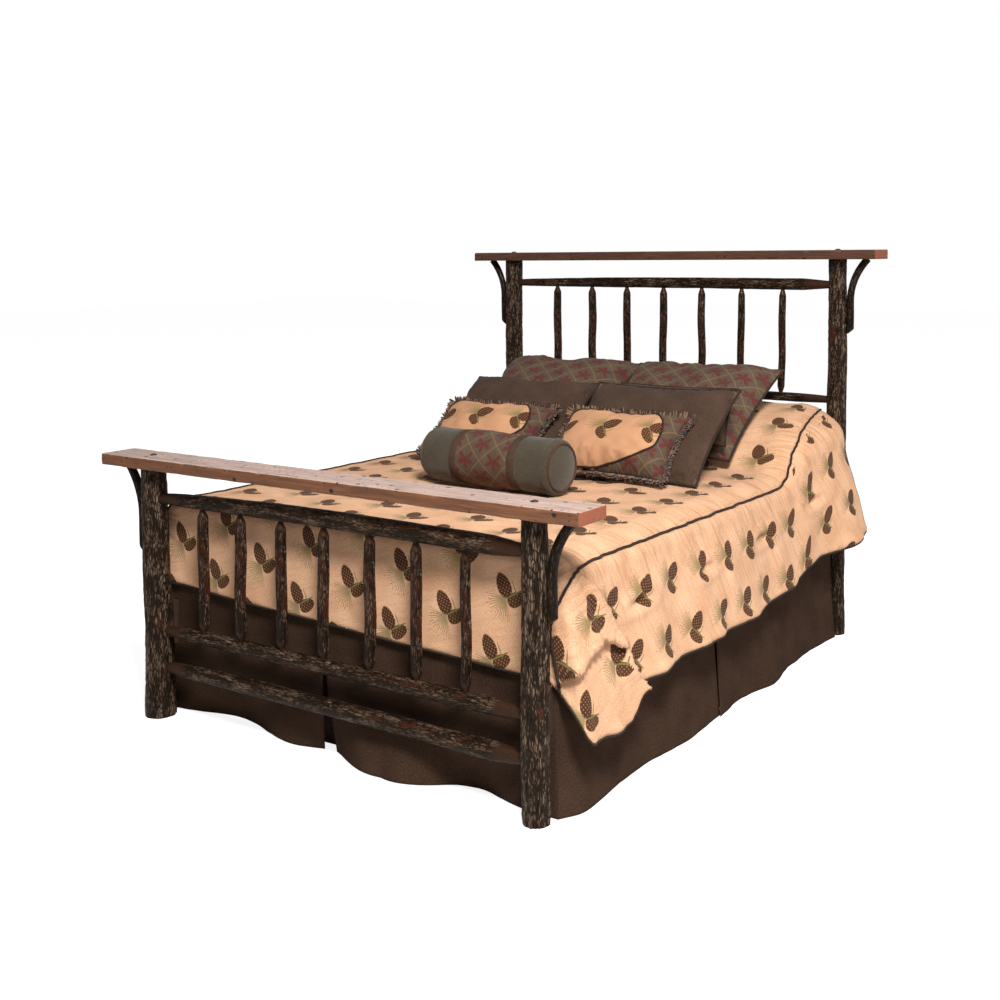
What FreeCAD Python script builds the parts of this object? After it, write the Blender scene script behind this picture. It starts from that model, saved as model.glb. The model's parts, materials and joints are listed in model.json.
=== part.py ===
# Rustic log bed: hickory posts, rails, spindles and bent braces under a barn-wood plank at each end,
# side rails and slats, and the dressed mattress with its comforter, split skirt and cushions.
# Millimetres. The origin is on the floor in the middle, +Y points to the head and +Z points up.
import FreeCAD, Part
import math
import os
from FreeCAD import Vector

# Clearances
fit_gap = 0.3
seat_gap = 0.3
seat_tolerance = 0.1
cut_overrun = 4.0

# Mattress set
mattress_width = 1524.0
mattress_length = 2032.0
mattress_height = 244.3
mattress_edge_radius = 40.0
mattress_corner_radius = 75.0
box_spring_height = 202.0
box_spring_edge_radius = 12.0
deck_thickness = 1.2

# Log frame
post_end_room = 83.0
foot_post_offset = 2.0
head_post_left_offset = 16.0
head_post_right_offset = 19.0
foot_left_post_diameters = (108.0, 97.0, 92.0, 86.0)
foot_right_post_diameters = (81.0, 83.0, 79.0, 73.0)
head_left_post_diameters = (86.0, 84.0, 82.0, 80.0)
head_right_post_diameters = (84.0, 80.0, 77.0, 72.0)
post_sway = 5.0
post_station_shares = (0.0, 0.36, 0.7, 1.0)
post_sway_shares = (0.0, 1.0, -0.6, 0.0)
tenon_length = 32.0

# Planks along the two ends
plank_width = 142.0
plank_edge_radius = 2.5
foot_plank_overhang = 187.0
foot_plank_thickness = 39.0
foot_plank_top = 906.0
head_plank_overhang = 181.5
head_plank_thickness = 38.0
head_plank_top = 1582.0

# Rails of the two ends: place of each end, upward bow, diameters at left, middle and right, end size
foot_top_rail_left_drop = 114.0
foot_top_rail_right_drop = 101.0
foot_top_rail_bow = 12.0
foot_top_rail_diameters = (41.0, 54.0, 57.0)
foot_top_rail_end = 33.0
foot_middle_rail_height = 303.0
foot_middle_rail_bow = 2.0
foot_middle_rail_diameters = (46.0, 49.0, 52.0)
foot_middle_rail_end = 33.0
foot_bottom_rail_height = 175.0
foot_bottom_rail_bow = 3.0
foot_bottom_rail_diameters = (48.0, 53.0, 56.0)
foot_bottom_rail_end = 35.0
head_top_rail_drop = 103.0
head_top_rail_bow = 3.0
head_top_rail_diameters = (36.0, 45.0, 49.0)
head_top_rail_end = 32.0
head_middle_rail_height = 970.0
head_middle_rail_bow = 2.0
head_middle_rail_diameters = (38.0, 39.0, 37.0)
head_middle_rail_end = 30.0
head_bottom_rail_height = 330.0
head_bottom_rail_bow = 2.0
head_bottom_rail_diameters = (46.0, 49.0, 46.0)
head_bottom_rail_end = 33.0
rail_taper_share = 0.07
rail_station_shares = (0.32, 0.64)

# Spindles, numbered from the left seen from the foot
spindle_spacing_share = 0.2356
foot_spindle_top_shares = (-2.96, -2.0, -1.01, -0.01, 1.01, 1.98, 2.96)
foot_spindle_bottom_shares = (-2.99, -2.03, -1.04, -0.07, 0.96, 1.96, 2.94)
foot_spindle_diameters = (38.0, 39.0, 38.0, 37.0, 37.0, 36.0, 32.0)
head_spindle_top_shares = (-3.0, -1.98, -0.99, 0.02, 1.03, 2.05, 3.06)
head_spindle_bottom_shares = (-3.01, -1.96, -0.99, 0.0, 1.02, 2.03, 3.03)
head_spindle_diameters = (37.0, 36.0, 35.0, 34.0, 33.0, 31.0, 30.0)
spindle_tip_length = 24.0
spindle_tenon_diameter = 15.0
spindle_tenon_length = 16.0
spindle_sway = 5.0
spindle_sway_shares = (0.6, -1.0, 0.4, -0.5, 1.0, -0.4, 0.7)
spindle_body_shares = (0.35, 0.7)
spindle_girth_shares = (1.0, 0.97, 1.0, 0.94)
spindle_counter_sway_share = -0.4

# Bent braces between post and plank
brace_diameter = 29.0
brace_foot_reach = 131.0
brace_head_reach = 124.0
brace_foot_drop = 298.0
brace_head_drop = 302.0
brace_straight_length = 132.0
brace_heel_cut = 22.0

# Fasteners
plank_bolt_diameter = 10.0
plank_bolt_grip = 78.0
plank_bolt_head_diameter = 24.0
plank_bolt_head_height = 5.0
screw_diameter = 5.0
screw_head_diameter = 10.0
screw_head_height = 3.0
brace_screw_bite = 24.0
brace_screw_share = 0.16

# Side rails, ledgers, slats and hook plates
side_rail_thickness = 32.0
side_rail_height = 150.0
side_rail_base = 237.0
side_rail_clearance = 3.0
ledger_size = 25.0
slat_count = 5
slat_width = 95.0
slat_thickness = 18.0
slat_edge_share = 0.86
hook_plate_thickness = 3.0
hook_plate_height = 110.0
hook_plate_width = 30.0
hook_thickness = 4.0
hook_height = 20.0
hook_length = 16.0
hook_height_share = 0.27

# Comforter
comforter_loft = 16.3
comforter_wall = 14.0
comforter_end_room = 7.0
comforter_rail_room = 6.0
comforter_head_overhang = 34.0
comforter_flare = 140.0
comforter_right_drop = 425.0
comforter_left_drop = 300.0
comforter_hump = 210.0
comforter_edge_round = 45.0
comforter_shoulder_width = 116.0
comforter_shoulder_drop = 92.0
comforter_side_bulge = 10.0
comforter_corner_width = 205.0
comforter_right_foot_flare_share = 1.1
comforter_left_foot_flare_share = 0.8
knee_pull_share = 0.4
start_pull_share = 0.04
hump_start_share = 0.35
hump_knee_share = 0.48
hump_drop_share = 0.75
round_share = 0.707

# Skirt
skirt_thickness = 1.6
skirt_hem_height = 3.0
skirt_flare = 100.0
skirt_side_flare = 40.0
skirt_bend_room = 1.0
skirt_rail_room = 4.0
skirt_foot_low_reach = 13.0
skirt_foot_hem_reach = 6.0
skirt_side_hem_reach = 28.0
skirt_side_top_spread = 2.0
skirt_foot_top_inset = 2.0
skirt_foot_hem_spread = 43.0
skirt_side_hem_spread = 36.0
pleat_width = 190.0
pleat_setback = 26.0
pleat_foot_place_share = -0.11
pleat_side_place_share = -0.051

# Cushions
cushion_seam = 5.0
bed_pillow_side_room = 81.0
bed_pillow_middle_room = 31.0
bed_pillow_depth = 500.0
bed_pillow_top_crown = 56.0
bed_pillow_back_crown = 60.0
bed_pillow_setback = 231.0
bed_pillow_tilt = 20.0
rear_sham_width = 672.0
rear_sham_depth = 600.0
rear_sham_front_crown = 108.0
rear_sham_back_crown = 40.0
rear_sham_tilt = 31.0
rear_sham_left_x = -392.0
rear_sham_right_x = 300.0
rear_sham_setback = 284.0
back_pillow_width = 520.0
back_pillow_depth = 240.0
back_pillow_front_crown = 84.0
back_pillow_back_crown = 60.0
back_pillow_tilt = 62.0
back_pillow_x = 356.0
back_pillow_setback = 546.0
back_pillow_middle = 207.0
brown_sham_width = 624.0
brown_sham_depth = 488.0
brown_sham_left_front_crown = 90.0
brown_sham_right_front_crown = 50.0
brown_sham_left_back_crown = 78.0
brown_sham_right_back_crown = 42.0
brown_sham_left_tilt = 36.0
brown_sham_right_tilt = 40.0
brown_sham_left_x = -352.0
brown_sham_right_x = 362.0
brown_sham_left_setback = 766.0
brown_sham_right_setback = 776.0
boudoir_width = 508.0
boudoir_depth = 305.0
boudoir_front_crown = 84.0
boudoir_back_crown = 26.0
boudoir_left_tilt = 38.0
boudoir_right_tilt = 42.0
boudoir_left_x = -325.0
boudoir_right_x = 330.0
boudoir_setback = 976.0
boudoir_lift = 17.0
bolster_length = 610.0
bolster_diameter = 189.0
bolster_crown = 3.0
bolster_end_dome = 12.0
bolster_end_round = 14.0
bolster_swell_share = 0.8
bolster_x = 24.0
bolster_setback = 1274.0
bolster_turn = -3.2

# Heights and planes that follow from the sizes above
half_mattress = 0.5 * mattress_width
half_length = 0.5 * mattress_length
foot_plane = -half_length - post_end_room
head_plane = half_length + post_end_room
ledger_base = side_rail_base
ledger_top = ledger_base + ledger_size
slat_top = ledger_top + slat_thickness
box_spring_base = slat_top + seat_gap
deck_base = box_spring_base + box_spring_height + seat_gap
mattress_base = deck_base + deck_thickness + seat_gap
mattress_top = mattress_base + mattress_height
comforter_base = mattress_top + seat_gap
comforter_top = comforter_base + comforter_loft
rail_inner_face = half_mattress + side_rail_clearance
rail_middle = rail_inner_face + 0.5 * side_rail_thickness
rail_outer_face = rail_inner_face + side_rail_thickness
rail_top = side_rail_base + side_rail_height
foot_post_spread = rail_middle + foot_post_offset
head_post_left_spread = rail_middle + head_post_left_offset
head_post_right_spread = rail_middle + head_post_right_offset
foot_plank_length = 2.0 * (foot_post_spread + foot_plank_overhang)
head_plank_length = head_post_left_spread + head_post_right_spread + 2.0 * head_plank_overhang
foot_plank_base = foot_plank_top - foot_plank_thickness
head_plank_base = head_plank_top - head_plank_thickness
spindle_spacing = spindle_spacing_share * rail_middle


def between(low, high, share):
    return low + (high - low) * share


def along_stations(place, places, values):
    """Value at a place on straight runs between stations."""
    for first, second in zip(range(len(places) - 1), range(1, len(places))):
        if place <= places[second] or second == len(places) - 1:
            share = (place - places[first]) / (places[second] - places[first])
            return between(values[first], values[second], share)


def round_log(centres, radii, direction):
    """Tapered log: straight-sided lengths between circles that all face the same way."""
    rings = []
    for centre, radius in zip(centres, radii):
        rings.append(Part.Wire(Part.makeCircle(radius, centre, direction)))
    return Part.makeLoft(rings, True, True)


def bore(start, direction, diameter, depth):
    return Part.makeCylinder(0.5 * diameter + fit_gap, depth, start, direction)


class Post:
    """A leg log from the floor to the underside of its plank, a little crooked."""

    def __init__(self, x, y, top, diameters, sway):
        self.x = x
        self.y = y
        self.top = top
        self.heights = [share * top for share in post_station_shares]
        self.radii = [0.5 * diameter for diameter in diameters]
        self.shifts = [share * sway for share in post_sway_shares]
        self.cuts = []

    def radius(self, z):
        return along_stations(z, self.heights, self.radii)

    def middle(self, z):
        return self.x + along_stations(z, self.heights, self.shifts)

    def solid(self):
        centres = []
        for height, shift in zip(self.heights, self.shifts):
            centres.append(Vector(self.x + shift, self.y, height))
        log = round_log(centres, self.radii, Vector(0, 0, 1))
        for cut in self.cuts:
            log = log.cut(cut)
        return log


class Rail:
    """A cross log with tapered ends that stay round as tenons in bored mortises of the posts."""

    def __init__(self, left, right, left_height, right_height, bow, diameters, end):
        self.y = left.y
        self.end = end
        first = left.middle(left_height) + left.radius(left_height)
        last = right.middle(right_height) - right.radius(right_height)
        shares = (0.0, rail_taper_share) + rail_station_shares + (1.0 - rail_taper_share, 1.0)
        self.places = [between(first, last, share) for share in shares]
        self.heights = []
        for share in shares:
            straight = between(left_height, right_height, share)
            self.heights.append(straight + bow * 4.0 * share * (1.0 - share))
        body = (diameters[0], diameters[1], 0.5 * (diameters[1] + diameters[2]), diameters[2])
        self.radii = [0.5 * size for size in (end,) + body + (end,)]
        self.cuts = []
        depth = tenon_length + fit_gap + cut_overrun
        left_start = Vector(first - tenon_length - fit_gap, self.y, left_height)
        right_start = Vector(last + tenon_length + fit_gap, self.y, right_height)
        left.cuts.append(bore(left_start, Vector(1, 0, 0), end, depth))
        right.cuts.append(bore(right_start, Vector(-1, 0, 0), end, depth))

    def height(self, x):
        return along_stations(x, self.places, self.heights)

    def radius(self, x):
        return along_stations(x, self.places, self.radii)

    def solid(self):
        places = [self.places[0] - tenon_length] + self.places + [self.places[-1] + tenon_length]
        heights = [self.heights[0]] + self.heights + [self.heights[-1]]
        radii = [self.radii[0]] + self.radii + [self.radii[-1]]
        centres = [Vector(x, self.y, z) for x, z in zip(places, heights)]
        log = round_log(centres, radii, Vector(1, 0, 0))
        for cut in self.cuts:
            log = log.cut(cut)
        return log


def spindle(upper, lower, top_x, bottom_x, diameter, sway):
    """Upright stick with pencil-pointed ends and a round tenon in each rail."""
    low = lower.height(bottom_x) + lower.radius(bottom_x)
    high = upper.height(top_x) - upper.radius(top_x)
    body_low = low + spindle_tip_length
    body_high = high - spindle_tip_length
    tenon = 0.5 * spindle_tenon_diameter
    full = 0.5 * diameter
    heights = [low - spindle_tenon_length, low, body_low]
    heights += [between(body_low, body_high, share) for share in spindle_body_shares]
    heights += [body_high, high, high + spindle_tenon_length]
    radii = [tenon, tenon] + [share * full for share in spindle_girth_shares] + [tenon, tenon]
    bends = (0.0, 0.0, 0.0, sway, spindle_counter_sway_share * sway, 0.0, 0.0, 0.0)
    centres = []
    for height, bend in zip(heights, bends):
        share = min(max((height - low) / (high - low), 0.0), 1.0)
        centres.append(Vector(between(bottom_x, top_x, share) + bend, lower.y, height))
    depth = spindle_tenon_length + fit_gap + lower.radius(bottom_x)
    start = Vector(bottom_x, lower.y, low - spindle_tenon_length - fit_gap)
    lower.cuts.append(bore(start, Vector(0, 0, 1), spindle_tenon_diameter, depth))
    depth = spindle_tenon_length + fit_gap + upper.radius(top_x)
    start = Vector(top_x, upper.y, high + spindle_tenon_length + fit_gap)
    upper.cuts.append(bore(start, Vector(0, 0, -1), spindle_tenon_diameter, depth))
    return round_log(centres, radii, Vector(0, 0, 1))


def spindle_row(upper, lower, top_shares, bottom_shares, diameters):
    row = []
    for top, bottom, size, bend in zip(top_shares, bottom_shares, diameters, spindle_sway_shares):
        top_x = top * spindle_spacing
        bottom_x = bottom * spindle_spacing
        row.append(spindle(upper, lower, top_x, bottom_x, size, bend * spindle_sway))
    return row


def plank(length, thickness, top, y, posts):
    """Barn-wood board laid on the post tops, bored for the bolts."""
    middle = 0.5 * (posts[0].x + posts[1].x)
    corner = Vector(middle - 0.5 * length, y - 0.5 * plank_width, top - thickness)
    board = Part.makeBox(length, plank_width, thickness, corner)
    board = board.makeFillet(plank_edge_radius, board.Edges)
    for post in posts:
        start = Vector(post.x, y, top - thickness - cut_overrun)
        board = board.cut(bore(start, Vector(0, 0, 1), plank_bolt_diameter, thickness + 2 * cut_overrun))
    return board


def plank_bolt(post, plank_top):
    """Bolt with a low domed head, down through the plank into the post's top."""
    centre = Vector(post.x, post.y, plank_top)
    bottom = plank_top - plank_bolt_grip
    shank = Part.makeCylinder(0.5 * plank_bolt_diameter, plank_bolt_grip, Vector(post.x, post.y, bottom))
    half = 0.5 * plank_bolt_head_diameter
    dome_radius = (half * half + plank_bolt_head_height ** 2) / (2 * plank_bolt_head_height)
    dome_centre = centre + Vector(0, 0, plank_bolt_head_height - dome_radius)
    above = Part.makeCylinder(half, plank_bolt_head_height, centre)
    head = Part.makeSphere(dome_radius, dome_centre).common(above)
    depth = post.top - bottom + fit_gap + cut_overrun
    start = Vector(post.x, post.y, bottom - fit_gap)
    post.cuts.append(bore(start, Vector(0, 0, 1), plank_bolt_diameter, depth))
    return shank.fuse(head).removeSplitter()


class Brace:
    """Green hickory stick bent from the post's outer face up to the plank, and its two screws."""

    def __init__(self, post, side, plank_base, plank_reach, drop, plank_thickness):
        self.post = post
        self.side = side
        radius = 0.5 * brace_diameter
        heel = plank_base - drop
        knee = heel + brace_straight_length
        heights = [heel, knee] + [z for z in post.heights if heel < z < knee]
        face = max(side * post.middle(z) + post.radius(z) for z in heights)
        self.x = face + seat_gap + radius
        reach = side * post.x + plank_reach - self.x
        rise = plank_base - knee
        bend = (reach ** 2 + rise ** 2) / (2.0 * reach)
        self.plank_base = plank_base
        self.heel = heel
        turn = math.asin(rise / bend) + cut_overrun / bend + math.asin(radius / bend)
        ring = Part.Wire(Part.makeCircle(radius, self.at(self.x, heel), Vector(0, 0, 1)))
        lower = self.at(self.x, knee)
        middle = self.at(self.x + bend * (1.0 - math.cos(0.5 * turn)), knee + bend * math.sin(0.5 * turn))
        upper = self.at(self.x + bend * (1.0 - math.cos(turn)), knee + bend * math.sin(turn))
        straight = Part.makeLine(self.at(self.x, heel), lower)
        path = Part.Wire([straight, Part.Arc(lower, middle, upper).toShape()])
        stick = path.makePipeShell([ring], True, False)
        stick = stick.cut(self.block_above(plank_base, reach + 2.0 * brace_diameter))
        self.stick = stick.cut(self.heel_wedge())
        self.screws = [self.heel_screw(), self.top_screw(reach, rise, bend, knee, plank_thickness)]

    def at(self, x, z):
        return Vector(self.side * x, self.post.y, z)

    def block_above(self, base, width):
        low = min(self.side * (self.x - brace_diameter), self.side * (self.x + width))
        corner = Vector(low, self.post.y - brace_diameter, base)
        return Part.makeBox(width + brace_diameter, 2 * brace_diameter, 3 * brace_diameter, corner)

    def heel_wedge(self):
        """Slanting cut that thins the lower end towards the post."""
        inner = self.x - 0.5 * brace_diameter - cut_overrun
        outer = self.x + 0.5 * brace_diameter + cut_overrun
        corners = [(inner, self.heel - cut_overrun), (outer, self.heel - cut_overrun)]
        corners += [(outer, self.heel + brace_heel_cut)]
        points = [self.at(x, z) - Vector(0, brace_diameter, 0) for x, z in corners]
        face = Part.Face(Part.makePolygon(points + points[:1]))
        return face.extrude(Vector(0, 2 * brace_diameter, 0))

    def screw(self, head, direction, length):
        shank = Part.makeCylinder(0.5 * screw_diameter, length, head, direction)
        disc = Part.makeCylinder(0.5 * screw_head_diameter, screw_head_height, head, direction)
        return shank.fuse(disc).removeSplitter()

    def sink(self, head, direction, length):
        """Clear the stick for a screw whose head lies just under the surface."""
        back = head - direction * brace_diameter
        wide = bore(back, direction, screw_head_diameter, brace_diameter + screw_head_height + fit_gap)
        self.stick = self.stick.cut(wide).cut(bore(head, direction, screw_diameter, length + fit_gap))

    def heel_screw(self):
        height = self.heel + brace_heel_cut + screw_head_diameter
        direction = Vector(-self.side, 0, 0)
        head = self.at(self.x + 0.5 * brace_diameter - screw_head_height, height)
        length = brace_diameter - screw_head_height + brace_screw_bite
        self.sink(head, direction, length)
        self.post.cuts.append(bore(head, direction, screw_diameter, length + fit_gap))
        return self.screw(head, direction, length)

    def top_screw(self, reach, rise, bend, knee, plank_thickness):
        turn = math.asin(rise / bend) * (1.0 - brace_screw_share)
        x = self.x + bend * (1.0 - math.cos(turn))
        z = knee + bend * math.sin(turn)
        direction = Vector(0, 0, 1)
        head = self.at(x, z - screw_head_height)
        length = self.plank_base - head.z + 0.5 * plank_thickness
        self.plank_bore = bore(head, direction, screw_diameter, length + fit_gap)
        self.sink(head, direction, length)
        return self.screw(head, direction, length)


class End:
    """One end of the frame: two posts, the plank on them, and its rails, spindles and braces."""

    def __init__(self, name, y, left_post, right_post, plank_length, plank_thickness, plank_top):
        self.name = name
        self.left = left_post
        self.right = right_post
        self.plank_thickness = plank_thickness
        self.plank_top = plank_top
        self.plank = plank(plank_length, plank_thickness, plank_top, y, (left_post, right_post))
        self.bolts = [plank_bolt(post, plank_top) for post in (left_post, right_post)]
        self.screws = []
        self.nodes = {}

    def add_rails(self, rails):
        for place, rail in zip(("top", "middle", "bottom"), rails):
            self.nodes[self.name + "_" + place + "_rail"] = rail.solid()

    def add_spindles(self, sticks):
        for number, stick in enumerate(sticks, start=1):
            self.nodes[self.name + "_spindle_" + str(number)] = stick

    def add_braces(self, reach, drop):
        base = self.plank_top - self.plank_thickness
        for word, side, post in (("left", -1.0, self.left), ("right", 1.0, self.right)):
            brace = Brace(post, side, base, reach, drop, self.plank_thickness)
            self.nodes[self.name + "_brace_" + word] = brace.stick
            self.plank = self.plank.cut(brace.plank_bore)
            self.screws += brace.screws

    def shapes(self):
        """All pieces of this end, once every bore in the posts and the plank is known."""
        self.nodes[self.name + "_plank"] = self.plank
        self.nodes[self.name + "_post_left"] = self.left.solid()
        self.nodes[self.name + "_post_right"] = self.right.solid()
        return self.nodes


def foot_end():
    left = Post(-foot_post_spread, foot_plane, foot_plank_base, foot_left_post_diameters, post_sway)
    right = Post(foot_post_spread, foot_plane, foot_plank_base, foot_right_post_diameters, -post_sway)
    end = End("foot", foot_plane, left, right, foot_plank_length, foot_plank_thickness, foot_plank_top)
    rails = (
        Rail(left, right, foot_plank_base - foot_top_rail_left_drop,
             foot_plank_base - foot_top_rail_right_drop,
             foot_top_rail_bow, foot_top_rail_diameters, foot_top_rail_end),
        Rail(left, right, foot_middle_rail_height, foot_middle_rail_height,
             foot_middle_rail_bow, foot_middle_rail_diameters, foot_middle_rail_end),
        Rail(left, right, foot_bottom_rail_height, foot_bottom_rail_height,
             foot_bottom_rail_bow, foot_bottom_rail_diameters, foot_bottom_rail_end),
    )
    end.add_spindles(spindle_row(rails[0], rails[1], foot_spindle_top_shares,
                                 foot_spindle_bottom_shares, foot_spindle_diameters))
    end.add_rails(rails)
    end.add_braces(brace_foot_reach, brace_foot_drop)
    return end


def head_end():
    left = Post(-head_post_left_spread, head_plane, head_plank_base, head_left_post_diameters, post_sway)
    right = Post(head_post_right_spread, head_plane, head_plank_base, head_right_post_diameters,
                 -post_sway)
    end = End("head", head_plane, left, right, head_plank_length, head_plank_thickness, head_plank_top)
    rails = (
        Rail(left, right, head_plank_base - head_top_rail_drop, head_plank_base - head_top_rail_drop,
             head_top_rail_bow, head_top_rail_diameters, head_top_rail_end),
        Rail(left, right, head_middle_rail_height, head_middle_rail_height,
             head_middle_rail_bow, head_middle_rail_diameters, head_middle_rail_end),
        Rail(left, right, head_bottom_rail_height, head_bottom_rail_height,
             head_bottom_rail_bow, head_bottom_rail_diameters, head_bottom_rail_end),
    )
    end.add_spindles(spindle_row(rails[0], rails[1], head_spindle_top_shares,
                                 head_spindle_bottom_shares, head_spindle_diameters))
    end.add_rails(rails)
    end.add_braces(brace_head_reach, brace_head_drop)
    return end


def side_rail(side, foot_end, head_end):
    inner = side * rail_inner_face
    corner = Vector(min(inner, inner + side * side_rail_thickness), foot_end, side_rail_base)
    return Part.makeBox(side_rail_thickness, head_end - foot_end, side_rail_height, corner)


def ledger(side, foot_end, head_end):
    """Strip along the inner face of a side rail that carries the slats."""
    inner = side * rail_inner_face
    corner = Vector(min(inner, inner - side * ledger_size), foot_end, ledger_base)
    return Part.makeBox(ledger_size, head_end - foot_end, ledger_size, corner)


def slat(y):
    half = rail_inner_face - seat_gap
    corner = Vector(-half, y - 0.5 * slat_width, ledger_top)
    return Part.makeBox(2.0 * half, slat_width, slat_thickness, corner)


def hook_plate_face(post, side):
    """How far from the post's centre plane a plate's edges first meet the round post."""
    middle = side_rail_base + 0.5 * side_rail_height
    offset = side * rail_middle - post.middle(middle)
    reach = max(abs(offset) - 0.5 * hook_plate_width, 0.0)
    radius = max(post.radius(middle + share * hook_plate_height) for share in (-0.5, 0.5))
    return math.sqrt(radius ** 2 - reach ** 2) + seat_gap


def hook_plate(post, side, facing, rail_end):
    """Steel plate on a rail's end with two tongues that drop into slots in the post."""
    x = side * rail_middle
    middle = side_rail_base + 0.5 * side_rail_height
    low = min(rail_end, rail_end + facing * hook_plate_thickness)
    corner = Vector(x - 0.5 * hook_plate_width, low, middle - 0.5 * hook_plate_height)
    plate = Part.makeBox(hook_plate_width, hook_plate_thickness, hook_plate_height, corner)
    face = rail_end + facing * hook_plate_thickness
    for share in (-hook_height_share, hook_height_share):
        z = middle + share * hook_plate_height
        start = min(face, face + facing * hook_length)
        corner = Vector(x - 0.5 * hook_thickness, start, z - 0.5 * hook_height)
        plate = plate.fuse(Part.makeBox(hook_thickness, hook_length, hook_height, corner))
        start = min(face, face + facing * (hook_length + fit_gap))
        corner = Vector(x - 0.5 * hook_thickness - fit_gap, start, z - 0.5 * hook_height - fit_gap)
        slot_width = hook_thickness + 2 * fit_gap
        slot_height = hook_height + 2 * fit_gap
        post.cuts.append(Part.makeBox(slot_width, hook_length + fit_gap, slot_height, corner))
    return plate.removeSplitter()


def upholstered_block(base, height, edge_radius):
    """Mattress or box spring: a block with round corners in plan and rolled edges."""
    block = Part.makeBox(mattress_width, mattress_length, height, Vector(-half_mattress, -half_length, base))
    upright = [edge for edge in block.Edges if abs(edge.tangentAt(edge.FirstParameter).z) > round_share]
    block = block.makeFillet(mattress_corner_radius, upright)
    level = [edge for edge in block.Edges if abs(edge.BoundBox.ZLength) < fit_gap]
    return block.makeFillet(edge_radius, level)


# Comforter stations from foot to head, as shares. Each row: place along the half length, top over the
# hump, shoulder of the corner, right hem drop, right flare, left hem drop, left flare
comforter_station_shares = (
    (-0.93, 0.0, 0.0, 1.22, 1.06, 0.99, 0.86),
    (-0.86, 0.0, 0.0, 1.24, 1.10, 1.02, 0.94),
    (-0.77, 0.0, 0.0, 1.18, 1.02, 0.98, 0.84),
    (-0.69, 0.0, 0.0, 1.05, 0.94, 1.00, 0.92),
    (-0.56, 0.0, 0.0, 1.02, 1.06, 1.01, 0.83),
    (-0.42, 0.0, 0.0, 1.01, 0.90, 0.98, 0.92),
    (-0.24, 0.0, 0.0, 1.00, 1.04, 1.00, 0.84),
    (-0.08, 0.0, 0.0, 0.99, 0.91, 1.01, 0.93),
    (0.08, 0.0, 0.0, 0.99, 1.03, 0.99, 0.85),
    (0.24, 0.0, 0.0, 0.96, 0.92, 1.00, 0.94),
    (0.41, 0.0, 0.0, 0.92, 1.02, 0.98, 0.86),
    (0.50, 0.07, 0.05, 0.87, 0.94, 0.98, 0.93),
    (0.58, 0.33, 0.25, 0.82, 0.97, 0.97, 0.88),
    (0.68, 0.64, 0.5, 0.79, 0.98, 0.97, 0.93),
    (0.79, 0.84, 0.75, 0.78, 1.10, 0.96, 0.90),
    (0.91, 0.96, 0.95, 0.74, 1.34, 0.94, 0.97),
    (1.0, 1.0, 1.0, 0.68, 1.30, 0.92, 0.95),
)
# Rounding into the foot drop, as shares of the edge round: place, top drop, corner pull
comforter_foot_round_shares = ((0.0, 0.52, 0.3), (0.5, 0.12, 0.12), (1.0, 0.0, 0.0))
comforter_corner_hem_share = 1.16
comforter_foot_left_share = 0.975


class Drape:
    """One cross-section of the comforter: where its top, shoulders and hems lie."""

    def __init__(self, y, top, shoulder, right_hem, right_flare, left_hem, left_flare, turn_hem, pull):
        self.y = y
        self.top = top
        start = half_mattress - mattress_edge_radius
        knee = start + comforter_shoulder_width * (1.0 - knee_pull_share * pull)
        narrow = start - hump_start_share * comforter_corner_width
        wide = half_mattress + hump_knee_share * comforter_corner_width
        self.start = between(start, narrow, shoulder) * (1.0 - start_pull_share * pull)
        self.knee = between(knee, wide, shoulder)
        drop = comforter_shoulder_drop * (1.0 + pull)
        self.knee_height = top - between(drop, hump_drop_share * comforter_corner_width, shoulder)
        self.right = (half_mattress + right_flare * comforter_flare, right_hem)
        self.left = (half_mattress + left_flare * comforter_flare, left_hem)
        self.turn = (rail_outer_face + comforter_rail_room, turn_hem)

    def side_edges(self, side, hem, wall, loft, floor):
        """Edges from the flat top over the shoulder down to the hem, and on to floor inside."""
        start = Vector(side * self.start, self.y, self.top - loft)
        knee = Vector(side * (self.knee - wall), self.y, self.knee_height)
        fall = start.z - knee.z
        over_x = between(abs(start.x), abs(knee.x), round_share)
        over = Vector(side * over_x, self.y, start.z - (1.0 - round_share) * fall)
        hem_point = Vector(side * (hem[0] - wall), self.y, hem[1])
        swell = 0.5 * (knee + hem_point) + Vector(side * comforter_side_bulge, 0, 0)
        edges = [Part.Arc(start, over, knee).toShape(), Part.Arc(knee, swell, hem_point).toShape()]
        if wall:
            edges.append(Part.makeLine(hem_point, Vector(hem_point.x, self.y, floor)))
        return edges

    def wire(self, wall, loft, floor):
        right = self.side_edges(1.0, self.right, wall, loft, floor)
        left = self.side_edges(-1.0, self.left, wall, loft, floor)
        right_end = right[-1].Vertexes[-1].Point
        left_end = left[-1].Vertexes[-1].Point
        turn = Vector(self.turn[0], self.y, self.turn[1] if not wall else floor - cut_overrun)
        top = Part.makeLine(left[0].Vertexes[0].Point, right[0].Vertexes[0].Point)
        bottom = [Part.makeLine(right_end, turn), Part.makeLine(turn, left_end)]
        return Part.Wire(Part.__sortEdges__([top] + right + bottom + left))


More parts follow.
